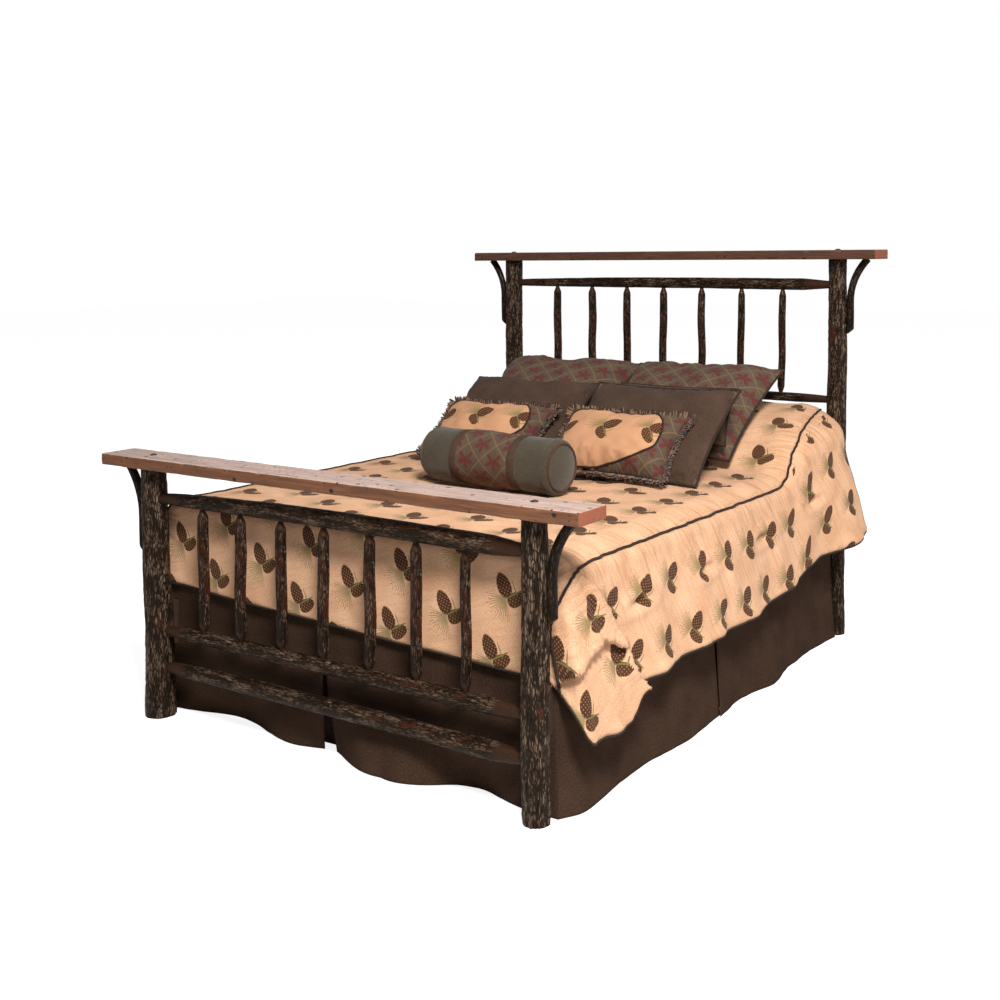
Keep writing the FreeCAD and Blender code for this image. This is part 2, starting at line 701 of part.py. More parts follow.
def comforter_drapes():
    foot_face = -(half_length + comforter_end_room + comforter_wall)
    right_low = comforter_top - comforter_right_drop * comforter_corner_hem_share
    left_low = comforter_top - comforter_left_drop * comforter_foot_left_share
    turn_low = rail_top + comforter_rail_room
    drapes = []
    for place, drop, pull in comforter_foot_round_shares:
        y = foot_face + place * comforter_edge_round
        top = comforter_top - drop * comforter_edge_round
        drapes.append(Drape(y, top, 0.0, right_low, comforter_right_foot_flare_share,
                            left_low, comforter_left_foot_flare_share, turn_low, pull))
    for place, hump, shoulder, right, right_flare, left, left_flare in comforter_station_shares:
        y = place * (half_length + comforter_head_overhang if place > 0 else half_length)
        top = comforter_top + hump * comforter_hump
        right_hem = comforter_top - comforter_right_drop * right
        left_hem = comforter_top - comforter_left_drop * left
        drape = Drape(y, top, shoulder, right_hem, right_flare, left_hem, left_flare, right_hem, 0.0)
        drapes.append(drape)
    return drapes


def comforter():
    """Quilted cover draped over the mattress and the bed pillows: an outer form less its hollow."""
    drapes = comforter_drapes()
    outer = Part.makeLoft([drape.wire(0.0, 0.0, 0.0) for drape in drapes], True, True)
    floor = min(min(drape.right[1], drape.left[1]) for drape in drapes) - 2.0 * cut_overrun
    drapes[0].y += comforter_wall
    hollow = [drape.wire(comforter_wall, comforter_loft, floor) for drape in drapes]
    end = hollow[-1].copy()
    end.translate(Vector(0, cut_overrun, 0))
    inner = Part.makeLoft(hollow + [end], True, True)
    return outer.cut(inner)


# Skirt folds as shares. Each row: place at the top, place at the hem, reach of the hem, bulge after it
foot_left_fold_shares = (
    (-1.0, -1.0, -0.02, 0.12),
    (-0.72, -0.68, -0.35, -0.06),
    (-0.36, -0.33, 0.31, 0.11),
    (-0.145, -0.16, -0.11, 0.0),
)
foot_right_fold_shares = (
    (-0.125, -0.05, 0.13, 0.14),
    (0.24, 0.27, 0.92, 0.24),
    (0.54, 0.55, 0.1, -0.1),
    (0.75, 0.75, 0.13, 0.12),
    (1.0, 0.98, 0.40, 0.0),
)
side_foot_fold_shares = (
    (-1.0, -1.0, 0.4, 0.3),
    (-0.82, -0.85, 0.8, -0.25),
    (-0.48, -0.46, 0.35, 0.2),
    (-0.26, -0.25, 0.62, -0.1),
    (-0.06, -0.10, 0.2, 0.0),
)
side_head_fold_shares = (
    (-0.05, 0.01, 0.42, -0.2),
    (0.2, 0.2, 0.22, 0.25),
    (0.4, 0.4, 0.72, -0.2),
    (0.6, 0.6, -0.1, -0.3),
    (0.8, 0.78, -0.6, 0.2),
    (1.0, 0.97, 0.0, 0.0),
)
fold_top_share = 0.015
fold_low_share = 0.14


def skirt_levels(top_reach, bend_reach, low_reach, hem_reach, top_spread, hem_spread):
    """Rows of height, reach, half spread and how far the folds have opened."""
    return (
        (deck_base, top_reach, top_spread, 0.0, fold_top_share),
        (rail_top + skirt_bend_room, bend_reach, top_spread, 0.1, fold_top_share),
        (side_rail_base - skirt_rail_room, low_reach, top_spread, 0.4, fold_low_share),
        (skirt_hem_height, hem_reach, hem_spread, 1.0, 1.0),
    )


def fold_chain(points, bulges, spot):
    """Arcs from fold to fold, each bowed by its own bulge."""
    arcs = []
    for first, second, bulge in zip(points, points[1:], bulges):
        middle = (0.5 * (first[0] + second[0]), 0.5 * (first[1] + second[1]) + bulge)
        arcs.append(Part.Arc(spot(first), spot(middle), spot(second)).toShape())
    return arcs


def hanging_panel(levels, folds, flare, facing):
    """Cloth wall that opens from a nearly straight top into the folds of its hem."""
    def spot_at(z):
        def spot(point):
            along, out = point
            if facing == 0:
                return Vector(along, -out, z)
            return Vector(facing * out, along, z)
        return spot

    wires = []
    for z, reach, spread, opening, depth in levels:
        outer = []
        for top_place, hem_place, fold, bulge in folds:
            along = spread * between(top_place, hem_place, opening)
            outer.append((along, reach + depth * fold * flare))
        inner = [(along, out - skirt_thickness) for along, out in outer]
        bulges = [depth * fold[3] * flare for fold in folds[:-1]]
        spot = spot_at(z)
        edges = fold_chain(outer, bulges, spot)
        edges.append(Part.makeLine(spot(outer[-1]), spot(inner[-1])))
        edges += fold_chain(inner[::-1], bulges[::-1], spot)
        edges.append(Part.makeLine(spot(inner[0]), spot(outer[0])))
        wires.append(Part.Wire(edges))
    return Part.makeLoft(wires, True, True)


def pleat_backing(middle, top_reach, hem_reach, facing, bend_reach):
    """Flat strip behind a split in the skirt."""
    folds = ((-1.0, -1.0, 0.0, 1.0), (1.0, 1.0, 0.0, 0.0))
    half = 0.5 * pleat_width
    levels = (
        (deck_base, top_reach, half, 0.0, fold_top_share),
        (rail_top + skirt_bend_room, bend_reach, half, 0.0, fold_top_share),
        (side_rail_base - skirt_rail_room, bend_reach, half, 0.0, fold_top_share),
        (skirt_hem_height, hem_reach, half, 0.0, fold_top_share),
    )
    strip = hanging_panel(levels, folds, skirt_thickness, facing)
    strip.translate(Vector(middle, 0, 0) if facing == 0 else Vector(0, middle, 0))
    return strip


# Cushion stations as shares of the half width: place, height of the section, crown
cushion_station_shares = (
    (-1.0, 1.0, 0.05),
    (-0.9, 0.975, 0.42),
    (-0.62, 0.945, 0.84),
    (0.0, 0.93, 1.0),
    (0.62, 0.945, 0.84),
    (0.9, 0.975, 0.42),
    (1.0, 1.0, 0.05),
)


def cushion(width, depth, front_crown, back_crown, tilt, centre):
    """Crowned cushion with drawn-in sides, leaning back by tilt from lying flat."""
    wires = []
    seam = 0.5 * cushion_seam
    for place, height_share, crown_share in cushion_station_shares:
        x = 0.5 * width * place
        half = 0.5 * depth * height_share
        front = seam + crown_share * (front_crown - seam)
        back = seam + crown_share * (back_crown - seam)
        low_front = Vector(x, -half, seam)
        high_front = Vector(x, half, seam)
        low_back = Vector(x, -half, -seam)
        high_back = Vector(x, half, -seam)
        edges = [Part.Arc(low_front, Vector(x, 0, front), high_front).toShape()]
        edges.append(Part.makeLine(high_front, high_back))
        edges.append(Part.Arc(high_back, Vector(x, 0, -back), low_back).toShape())
        edges.append(Part.makeLine(low_back, low_front))
        wires.append(Part.Wire(edges))
    pad = Part.makeLoft(wires, True, False)
    pad.rotate(Vector(0, 0, 0), Vector(1, 0, 0), tilt)
    pad.translate(centre)
    return pad


def bolster():
    """Round bolster along the bed's width: slightly barrelled, with domed ends."""
    half = 0.5 * bolster_length
    radius = 0.5 * bolster_diameter
    end_radius = radius - bolster_crown
    face = half - bolster_end_dome
    shoulder = face - bolster_end_round
    disc = end_radius - bolster_end_round
    corner = bolster_end_round * (1.0 - round_share)
    swell_x = face + bolster_swell_share * bolster_end_dome
    edges = []
    for side in (1.0, -1.0):
        tip = Vector(side * half, 0, 0)
        swell = Vector(side * swell_x, 0, 0.5 * disc)
        rim = Vector(side * face, 0, disc)
        turn = Vector(side * (face - corner), 0, end_radius - corner)
        edges.append(Part.Arc(tip, swell, rim).toShape())
        edges.append(Part.Arc(rim, turn, Vector(side * shoulder, 0, end_radius)).toShape())
    right = Vector(shoulder, 0, end_radius)
    left = Vector(-shoulder, 0, end_radius)
    edges.append(Part.Arc(right, Vector(0, 0, radius), left).toShape())
    edges.append(Part.makeLine(Vector(half, 0, 0), Vector(-half, 0, 0)))
    profile = Part.Face(Part.Wire(Part.__sortEdges__(edges)))
    roll = profile.revolve(Vector(0, 0, 0), Vector(1, 0, 0), 360)
    roll.rotate(Vector(0, 0, 0), Vector(0, 0, 1), bolster_turn)
    middle = half_length - bolster_setback
    roll.translate(Vector(bolster_x, middle, comforter_top + seat_gap + radius))
    return roll


def seat(piece, carrier, direction):
    """Move a piece along direction until only the seat gap is left to its carrier."""
    gap = piece.distToShape(carrier)[0]
    while gap > seat_gap + seat_tolerance:
        piece.translate(direction * (gap - seat_gap))
        gap = piece.distToShape(carrier)[0]
    return piece


def resting_height(depth, tilt):
    """Height of a leaning cushion's middle when its lower seam meets the comforter's flat top."""
    slope = math.radians(tilt)
    return comforter_top + seat_gap + 0.5 * depth * math.sin(slope) + 0.5 * cushion_seam * math.cos(slope)


def bedding():
    """Comforter, the pillows under it and the cushions on it, each seated on what carries it."""
    down = Vector(0, 0, -1)
    back = Vector(0, 1, 0)
    cover = comforter()
    pads = {"comforter": cover, "bolster": bolster()}
    mattress = upholstered_block(mattress_base, mattress_height, mattress_edge_radius)
    sides = (
        ("left", -1.0, rear_sham_left_x, brown_sham_left_x, brown_sham_left_setback, brown_sham_left_tilt,
         brown_sham_left_front_crown, brown_sham_left_back_crown, boudoir_left_x, boudoir_left_tilt),
        ("right", 1.0, rear_sham_right_x, brown_sham_right_x, brown_sham_right_setback, brown_sham_right_tilt,
         brown_sham_right_front_crown, brown_sham_right_back_crown, boudoir_right_x, boudoir_right_tilt),
    )
    bed_pillow_width = half_mattress - bed_pillow_side_room - bed_pillow_middle_room
    bed_pillow_x = bed_pillow_middle_room + 0.5 * bed_pillow_width
    for (word, side, rear_x, brown_x, brown_setback, brown_tilt, brown_front, brown_back,
         boudoir_x, boudoir_tilt) in sides:
        over_mattress = mattress_top + bed_pillow_depth
        place = Vector(side * bed_pillow_x, half_length - bed_pillow_setback, over_mattress)
        pillow = cushion(bed_pillow_width, bed_pillow_depth, bed_pillow_top_crown, bed_pillow_back_crown,
                         bed_pillow_tilt, place)
        pads["bed_pillow_" + word] = seat(pillow, mattress, down)
        over_hump = comforter_top + comforter_hump + rear_sham_depth
        rear = cushion(rear_sham_width, rear_sham_depth, rear_sham_front_crown, rear_sham_back_crown,
                       rear_sham_tilt, Vector(rear_x, half_length - rear_sham_setback, over_hump))
        pads["rear_sham_" + word] = seat(rear, cover, down)
        carrier = rear
        if word == "right":
            place = Vector(back_pillow_x, half_length - back_pillow_setback,
                           comforter_top + back_pillow_middle)
            behind = cushion(back_pillow_width, back_pillow_depth, back_pillow_front_crown,
                             back_pillow_back_crown, back_pillow_tilt, place)
            pads["back_pillow"] = seat(behind, rear, back)
            carrier = behind
        height = resting_height(brown_sham_depth, brown_tilt)
        place = Vector(brown_x, half_length - brown_setback, height)
        brown = cushion(brown_sham_width, brown_sham_depth, brown_front, brown_back, brown_tilt, place)
        pads["brown_sham_" + word] = seat(brown, carrier, back)
        middle = resting_height(boudoir_depth, boudoir_tilt) + boudoir_lift
        front = cushion(boudoir_width, boudoir_depth, boudoir_front_crown, boudoir_back_crown,
                        boudoir_tilt, Vector(boudoir_x, half_length - boudoir_setback, middle))
        pads["boudoir_pillow_" + word] = seat(front, brown, back)
    return pads


def save(shapes):
    os.makedirs("parts", exist_ok=True)
    for name, shape in shapes.items():
        shape.exportStep("parts/" + name + ".step")


def side_pieces(foot, head):
    """Side rails hooked between the posts, with the ledgers and slats they carry."""
    nodes = {}
    hooks = []
    sides = (("left", -1.0, foot.left, head.left), ("right", 1.0, foot.right, head.right))
    for word, side, foot_post, head_post in sides:
        rail_foot = foot_plane + hook_plate_face(foot_post, side) + hook_plate_thickness
        rail_head = head_plane - hook_plate_face(head_post, side) - hook_plate_thickness
        nodes["side_rail_" + word] = side_rail(side, rail_foot, rail_head)
        nodes["ledger_" + word] = ledger(side, -half_length, half_length)
        hooks.append(hook_plate(foot_post, side, -1.0, rail_foot))
        hooks.append(hook_plate(head_post, side, 1.0, rail_head))
    slats = []
    for number in range(slat_count):
        share = between(-slat_edge_share, slat_edge_share, number / (slat_count - 1))
        slats.append(slat(share * half_length))
    nodes["rail_hook_plates"] = Part.makeCompound(hooks)
    nodes["slats"] = Part.makeCompound(slats)
    return nodes


def skirt():
    """Deck cloth under the mattress, and the split skirt that hangs from it past the side rails."""
    backing_reach = seat_gap + skirt_thickness
    panel_reach = backing_reach + seat_gap + skirt_thickness
    foot_reach = half_length + panel_reach
    side_reach = rail_outer_face + backing_reach + panel_reach
    foot_levels = skirt_levels(foot_reach, foot_reach, half_length + skirt_foot_low_reach,
                               half_length - skirt_foot_hem_reach,
                               half_mattress - skirt_foot_top_inset, half_mattress + skirt_foot_hem_spread)
    side_levels = skirt_levels(half_mattress + panel_reach, side_reach, side_reach + panel_reach,
                               rail_outer_face + skirt_side_hem_reach,
                               half_length + skirt_side_top_spread, half_length + skirt_side_hem_spread)
    nodes = {}
    corner = Vector(-half_mattress, -half_length, deck_base)
    nodes["skirt_deck"] = Part.makeBox(mattress_width, mattress_length, deck_thickness, corner)
    nodes["skirt_foot_left"] = hanging_panel(foot_levels, foot_left_fold_shares, skirt_flare, 0)
    nodes["skirt_foot_right"] = hanging_panel(foot_levels, foot_right_fold_shares, skirt_flare, 0)
    for word, facing in (("left", -1.0), ("right", 1.0)):
        near_foot = hanging_panel(side_levels, side_foot_fold_shares, skirt_side_flare, facing)
        near_head = hanging_panel(side_levels, side_head_fold_shares, skirt_side_flare, facing)
        nodes["skirt_" + word + "_near_foot"] = near_foot
        nodes["skirt_" + word + "_near_head"] = near_head
    foot_backing = half_length + backing_reach
    foot_hem = half_length - skirt_foot_hem_reach - pleat_setback
    side_top = half_mattress + backing_reach
    side_backing = rail_outer_face + backing_reach
    nodes["skirt_pleats"] = Part.makeCompound([
        pleat_backing(pleat_foot_place_share * half_mattress, foot_backing, foot_hem, 0, foot_backing),
        pleat_backing(pleat_side_place_share * half_length, side_top, side_backing, -1.0, side_backing),
        pleat_backing(pleat_side_place_share * half_length, side_top, side_backing, 1.0, side_backing),
    ])
    return nodes


def build():
    foot = foot_end()
    head = head_end()
    nodes = side_pieces(foot, head)
    nodes.update(foot.shapes())
    nodes.update(head.shapes())
    nodes["plank_bolts"] = Part.makeCompound(foot.bolts + head.bolts)
    nodes["brace_screws"] = Part.makeCompound(foot.screws + head.screws)
    nodes["box_spring"] = upholstered_block(box_spring_base, box_spring_height, box_spring_edge_radius)
    nodes["mattress"] = upholstered_block(mattress_base, mattress_height, mattress_edge_radius)
    nodes.update(skirt())
    nodes.update(bedding())
    return nodes


save(build())
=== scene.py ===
import bpy
import json
import numpy as np
from mathutils import Matrix, Vector

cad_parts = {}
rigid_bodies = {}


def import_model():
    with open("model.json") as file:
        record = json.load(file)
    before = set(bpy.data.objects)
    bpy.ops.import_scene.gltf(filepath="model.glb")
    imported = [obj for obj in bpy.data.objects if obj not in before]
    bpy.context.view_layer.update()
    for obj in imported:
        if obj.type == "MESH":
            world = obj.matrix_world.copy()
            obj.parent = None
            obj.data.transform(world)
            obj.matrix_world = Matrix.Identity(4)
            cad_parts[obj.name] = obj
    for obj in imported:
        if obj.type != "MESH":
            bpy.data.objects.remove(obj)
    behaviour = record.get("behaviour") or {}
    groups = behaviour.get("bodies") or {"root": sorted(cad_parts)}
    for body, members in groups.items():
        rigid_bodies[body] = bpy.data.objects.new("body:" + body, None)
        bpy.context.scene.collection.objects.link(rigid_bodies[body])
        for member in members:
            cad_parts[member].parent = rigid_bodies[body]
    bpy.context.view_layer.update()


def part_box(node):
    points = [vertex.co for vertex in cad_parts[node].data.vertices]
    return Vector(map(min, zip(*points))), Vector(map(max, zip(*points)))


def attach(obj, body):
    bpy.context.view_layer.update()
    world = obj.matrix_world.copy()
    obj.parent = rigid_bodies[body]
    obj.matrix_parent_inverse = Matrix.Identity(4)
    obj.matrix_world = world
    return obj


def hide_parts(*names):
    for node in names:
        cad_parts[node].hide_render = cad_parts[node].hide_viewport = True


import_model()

# ----------------------------------------------------------------------
# The studio: a camera at standing height off the foot's right corner, and a plain pale floor under
# soft lamps. White is what the camera and polished things see round the bed, not what lights it.
# ----------------------------------------------------------------------
lens = bpy.data.cameras.new("studio_camera")
camera = bpy.data.objects.new("studio_camera", lens)
bpy.context.scene.collection.objects.link(camera)
bpy.context.scene.camera = camera
yaw, pitch, roll = np.radians([-35.09, 4.32, -0.53])
ahead = np.array([np.sin(yaw) * np.cos(pitch), np.cos(yaw) * np.cos(pitch), -np.sin(pitch)])
right = np.array([np.cos(yaw), -np.sin(yaw), 0.0])
up = np.cross(right, ahead)
right, up = np.cos(roll) * right + np.sin(roll) * up, np.cos(roll) * up - np.sin(roll) * right
camera.matrix_world = Matrix([[right[k], up[k], -ahead[k], place] for k, place in
                              enumerate((2.757, -4.042, 1.590))] + [[0, 0, 0, 1]])
lens.sensor_width = 36.0
lens.lens = 47.2
lens.shift_x = -0.005
lens.shift_y = -0.15
lens.clip_end = 60.0
bpy.context.scene.view_settings.view_transform = "Standard"


def linear(text):
    """An sRGB hex colour as the linear colour that a shader takes."""
    parts = [int(text[k:k + 2], 16) / 255.0 for k in (1, 3, 5)]
    return [c / 12.92 if c <= 0.04045 else ((c + 0.055) / 1.055) ** 2.4 for c in parts] + [1.0]


def add(tree, kind, inputs=(), **settings):
    """Add one node with its settings, and feed each named or numbered input a value or another output."""
    node = tree.nodes.new(kind)
    for name, value in settings.items():
        setattr(node, name, value)
    for name, value in dict(inputs).items():
        if isinstance(value, bpy.types.Node):
            value = value.outputs[0]
        if isinstance(value, bpy.types.NodeSocket):
            tree.links.new(value, node.inputs[name])
        else:
            node.inputs[name].default_value = value
    return node


def calc(tree, operation, *values):
    """One step of arithmetic on up to three values."""
    return add(tree, "ShaderNodeMath", dict(enumerate(values)), operation=operation)


def span(tree, value, low, high, to_low=0.0, to_high=1.0):
    """A value carried from one range over to another, and held at its ends."""
    return add(tree, "ShaderNodeMapRange", {0: value, 1: low, 2: high, 3: to_low, 4: to_high})


def blank(owner):
    """Turn on the nodes of a material or world, and clear them. Gives the empty tree."""
    owner.use_nodes = True
    owner.node_tree.nodes.clear()
    return owner.node_tree


bpy.context.scene.world = bpy.data.worlds.new("white_studio")
tree = blank(bpy.context.scene.world)
rays = add(tree, "ShaderNodeLightPath")
seen = calc(tree, "MULTIPLY_ADD", rays.outputs["Is Glossy Ray"], 0.25,
            rays.outputs["Is Camera Ray"])
seen = calc(tree, "MAXIMUM", seen, rays.outputs["Is Transmission Ray"])
glow = add(tree, "ShaderNodeMapRange", {0: seen, 3: 0.25, 4: 1.0})
sky = add(tree, "ShaderNodeBackground", {"Color": (1.0, 1.0, 1.0, 1.0), "Strength": glow})
add(tree, "ShaderNodeOutputWorld", {"Surface": sky})

for name, place, aim, size, power in (("key_lamp", (3.0, -3.2, 4.4), (0.1, 0.0, 0.6), 1.2, 430.0),
                                      ("fill_lamp", (4.6, 1.5, 2.6), (0.3, 0.0, 0.6), 2.6, 45.0)):
    lamp = bpy.data.lights.new(name, "AREA")
    lamp.size = size
    lamp.energy = power
    holder = bpy.data.objects.new(name, lamp)
    bpy.context.scene.collection.objects.link(holder)
    holder.location = place
    holder.rotation_mode = "QUATERNION"
    holder.rotation_quaternion = (Vector(aim) - Vector(place)).to_track_quat("-Z", "Y")

paper = bpy.data.materials.new("seamless_paper")
tree = blank(paper)
rays = add(tree, "ShaderNodeLightPath")
lit = add(tree, "ShaderNodeBsdfDiffuse", {"Color": linear("#DEDEDE")})
white = add(tree, "ShaderNodeEmission", {"Color": (1.0, 1.0, 1.0, 1.0), "Strength": 4.22})
seen = calc(tree, "MULTIPLY", rays.outputs["Is Camera Ray"], 0.2)
both = add(tree, "ShaderNodeMixShader", {0: seen, 1: lit, 2: white})
add(tree, "ShaderNodeOutputMaterial", {"Surface": both})
sheet = bpy.data.meshes.new("studio_floor")
sheet.from_pydata([(-30, -30, 0), (30, -30, 0), (30, 30, 0), (-30, 30, 0)], [], [(0, 1, 2, 3)])
sheet.materials.append(paper)
floor = bpy.data.objects.new("studio_floor", sheet)
bpy.context.scene.collection.objects.link(floor)

# ----------------------------------------------------------------------
# Corner posts: hickory trunks with the bark on, sawn square at both ends and sealed with a satin
# varnish. The bark stands in long plates with fissures between them; lichen and rubbed patches vary.
# ----------------------------------------------------------------------


def vector(tree, operation, *values):
    """One step of arithmetic on up to two vectors."""
    return add(tree, "ShaderNodeVectorMath", dict(enumerate(values)), operation=operation)


def mix(tree, share, one, other):
    """One colour turned into another by a share. Text is taken as an sRGB hex colour."""
    one, other = (linear(colour) if isinstance(colour, str) else colour for colour in (one, other))
    return add(tree, "ShaderNodeMixRGB", {0: share, 1: one, 2: other})


def noise(tree, place, scale, detail, roughness=0.5, distortion=0.0):
    """Soft noise from 0 to 1 over a place."""
    return add(tree, "ShaderNodeTexNoise", {"Vector": place, "Scale": scale, "Detail": detail,
                                            "Roughness": roughness, "Distortion": distortion})


def stretch(tree, place, scale):
    """A place multiplied along each axis, which draws out what is laid on it."""
    return add(tree, "ShaderNodeMapping", {0: place, "Scale": scale})


def field(tree, name, kind="Fac"):
    """What the points of a piece carry under a name."""
    return add(tree, "ShaderNodeAttribute", attribute_name=name).outputs[kind]


def finish(tree, height, distance, strength, look):
    """End a material in one surface shader: its relief from a height, and its look."""
    bump = add(tree, "ShaderNodeBump", {"Height": height, "Distance": distance, "Strength": strength})
    surface = add(tree, "ShaderNodeBsdfPrincipled", dict(look, Normal=bump))
    add(tree, "ShaderNodeOutputMaterial", {"Surface": surface})


def value_noise(a, b, seed, wrap=0):
    """Smooth noise from -1 to 1: random values at whole numbers, blended between them by a smooth step.
    Where wrap is given, a repeats after that many steps."""
    def corner(i, j):
        i = i % wrap if wrap else i
        spun = np.sin(i * 127.1 + j * 311.7 + seed * 74.7) * 43758.5453
        return 2.0 * (spun - np.floor(spun)) - 1.0
    i, j = np.floor(a), np.floor(b)
    s, t = a - i, b - j
    s, t = s * s * (3 - 2 * s), t * t * (3 - 2 * t)
    low = corner(i, j) * (1 - s) + corner(i + 1, j) * s
    high = corner(i, j + 1) * (1 - s) + corner(i + 1, j + 1) * s
    return low * (1 - t) + high * t


def put(name, points, faces, material, uv=None, **attributes):
    """Make one piece from arrays of points and quads, with its UV map and its point attributes.
    A quad whose last two corners are the same is a triangle."""
    mesh = bpy.data.meshes.new(name)
    points = np.asarray(points, np.float32).reshape(-1, 3)
    faces = np.asarray(faces, np.int32)
    triangle = faces[:, 2] == faces[:, 3]
    sizes = np.where(triangle, 3, 4)
    starts = np.concatenate([[0], np.cumsum(sizes)[:-1]])
    keep = np.ones(faces.shape, bool)
    keep[triangle, 3] = False
    loops = faces[keep]
    mesh.vertices.add(len(points))
    mesh.vertices.foreach_set("co", points.ravel())
    mesh.loops.add(len(loops))
    mesh.loops.foreach_set("vertex_index", loops)
    mesh.polygons.add(len(faces))
    mesh.polygons.foreach_set("loop_start", starts.astype(np.int32))
    mesh.polygons.foreach_set("loop_total", sizes.astype(np.int32))
    mesh.update(calc_edges=True)
    mesh.validate()
    mesh.polygons.foreach_set("use_smooth", np.full(len(faces), True))
    if uv is not None:
        layer = mesh.uv_layers.new(name="cloth")
        layer.data.foreach_set("uv", np.asarray(uv, np.float32).reshape(-1, 2)[loops].ravel())
    for key, values in attributes.items():
        values = np.asarray(values, np.float32)
        kind = "FLOAT" if values.size == len(points) else "FLOAT_VECTOR"
        field = mesh.attributes.new(key, kind, "POINT")
        field.data.foreach_set("value" if kind == "FLOAT" else "vector", values.ravel())
    for skin in material if isinstance(material, (list, tuple)) else [material]:
        mesh.materials.append(skin)
    piece = bpy.data.objects.new(name, mesh)
    bpy.context.scene.collection.objects.link(piece)
    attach(piece, "root")
    return piece


def grid_faces(rows, columns, around=False):
    """Quads between neighbouring rows and columns of points; around joins the last column to the first."""
    i, j = np.meshgrid(np.arange(rows - 1), np.arange(columns if around else columns - 1), indexing="ij")
    i, j = i.ravel(), j.ravel()
    k = (j + 1) % columns
    below, above = i * columns, (i + 1) * columns
    return np.stack([below + j, below + k, above + k, above + j], axis=1)


def tube_faces(rows, columns, other_way=False):
    """Quads round a tube of rings, and a fan at each end to a point; the two points follow the rings'.
    Other way turns every face over, for rings that run the other way round."""
    j, count = np.arange(columns), rows * columns
    j, k = (j, (j + 1) % columns) if other_way else ((j + 1) % columns, j)
    first, last = np.full(columns, count), np.full(columns, count + 1)
    sides = grid_faces(rows, columns, around=True)
    return np.concatenate([sides[:, ::-1] if other_way else sides, np.stack([j, k, first, first], axis=1),
                           np.stack([k + count - columns, j + count - columns, last, last], axis=1)])


def log_skin(centres, radii, out, side, length_at, relief, seed, cells, plate, sway):
    """A log as a grid: rings round a path, each point pushed out by the bark. Bark is ridged noise, one
    minus its own size, drawn out along the log, so fissures run lengthwise. Gives its height too."""
    rows, columns = len(centres), cells * 4
    turn = 2 * np.pi * np.arange(columns) / columns
    a = np.broadcast_to(turn[None, :] / (2 * np.pi) * cells, (rows, columns))
    b = np.broadcast_to(length_at[:, None], (rows, columns))
    wander = 0.8 * value_noise(a * 0 + 3.0, b / (2.2 * plate), seed + 5)
    ridge = 1.0 - np.abs(value_noise(a + wander, b / plate, seed, cells))
    fine = 1.0 - np.abs(value_noise(2 * (a + wander), b / (0.45 * plate), seed + 1, 2 * cells))
    knots = value_noise(a * 0.25, b / (3.1 * plate), seed + 2, max(cells // 4, 1))
    bark = 0.62 * ridge + 0.38 * fine - 0.75
    grow = radii[:, None] * (1.0 + sway * knots) + relief * np.minimum(1.0, radii[:, None] / 0.03) * bark
    spots = (centres[:, None, :] + grow[..., None] * (np.cos(turn)[None, :, None] * out[:, None, :]
                                                      + np.sin(turn)[None, :, None] * side[:, None, :]))
    return spots, bark


def close_in(rings, ends, shares):
    """Rings with smaller ones before and after them, drawn in by the shares towards two end points."""
    first, last = (np.stack([point + (rings[k] - point) * share for share in shares])
                   for k, point in zip((0, -1), ends))
    return np.concatenate([first, rings, last[::-1]])


def log_piece(name, centres, radii, material, relief, seed, cells, plate, sway, shave=None):
    """A log from its path: rings stand square to the path, and each end closes in rings to one point."""
    along = np.gradient(centres, axis=0)
    along /= np.linalg.norm(along, axis=1)[:, None]
    side = np.cross(along, [0.0, 1.0, 0.0])
    side /= np.linalg.norm(side, axis=1)[:, None]
    out = np.cross(side, along)
    steps = np.linalg.norm(np.diff(centres, axis=0), axis=1)
    length_at = np.concatenate([[0.0], np.cumsum(steps)])
    spots, bark = log_skin(centres, radii, out, side, length_at, relief, seed, cells, plate, sway)
    grid = close_in(spots, centres[[0, -1]], (0.45, 0.86))
    rows, columns = grid.shape[:2]
    points = np.concatenate([grid.reshape(-1, 3), centres[[0, -1]]])
    points[:, 2] = np.maximum(points[:, 2], 0.0)
    middles, outs, sides = (np.concatenate([way[:1], way[:1], way, way[-1:], way[-1:]])
                            for way in (centres, out, side))
    lengths = np.concatenate([np.zeros(2), length_at, np.full(2, length_at[-1])])
    off = grid - middles[:, None, :]
    where = np.stack([(off * outs[:, None, :]).sum(-1), (off * sides[:, None, :]).sum(-1),
                      np.broadcast_to(lengths[:, None], (rows, columns))], axis=-1).reshape(-1, 3)
    where = np.concatenate([where, [[0, 0, 0], [0, 0, length_at[-1]]]])
    height = np.pad(bark, ((2, 2), (0, 0)), constant_values=0.2)
    sawn = np.pad(np.zeros((rows - 4, columns)), ((2, 2), (0, 0)), constant_values=1.0)
    shave = np.zeros(len(centres)) if shave is None else shave
    bare = np.broadcast_to(np.pad(shave, 2, mode="edge")[:, None], (rows, columns))
    piece = put(name, points, tube_faces(rows, columns), material, grain=where,
                bark=np.append(height.ravel(), [0.2, 0.2]), sawn=np.append(sawn.ravel(), [1.0, 1.0]),
                shaved=np.append(bare.ravel(), [shave[0], shave[-1]]))
    return piece


def closed_curve(values, places, at):
    """Values at places joined by a smooth curve: a step that eases in and out between neighbours."""
    values, places, at = np.asarray(values, float), np.asarray(places, float), np.asarray(at, float)
    k = np.clip(np.searchsorted(places, at, side="right") - 1, 0, len(places) - 2)
    s = np.clip((at - places[k]) / (places[k + 1] - places[k]), 0, 1)
    slope = np.gradient(values, places)
    gap = places[k + 1] - places[k]
    return ((2 * s**3 - 3 * s**2 + 1) * values[k] + (s**3 - 2 * s**2 + s) * gap * slope[k]
            + (3 * s**2 - 2 * s**3) * values[k + 1] + (s**3 - s**2) * gap * slope[k + 1])


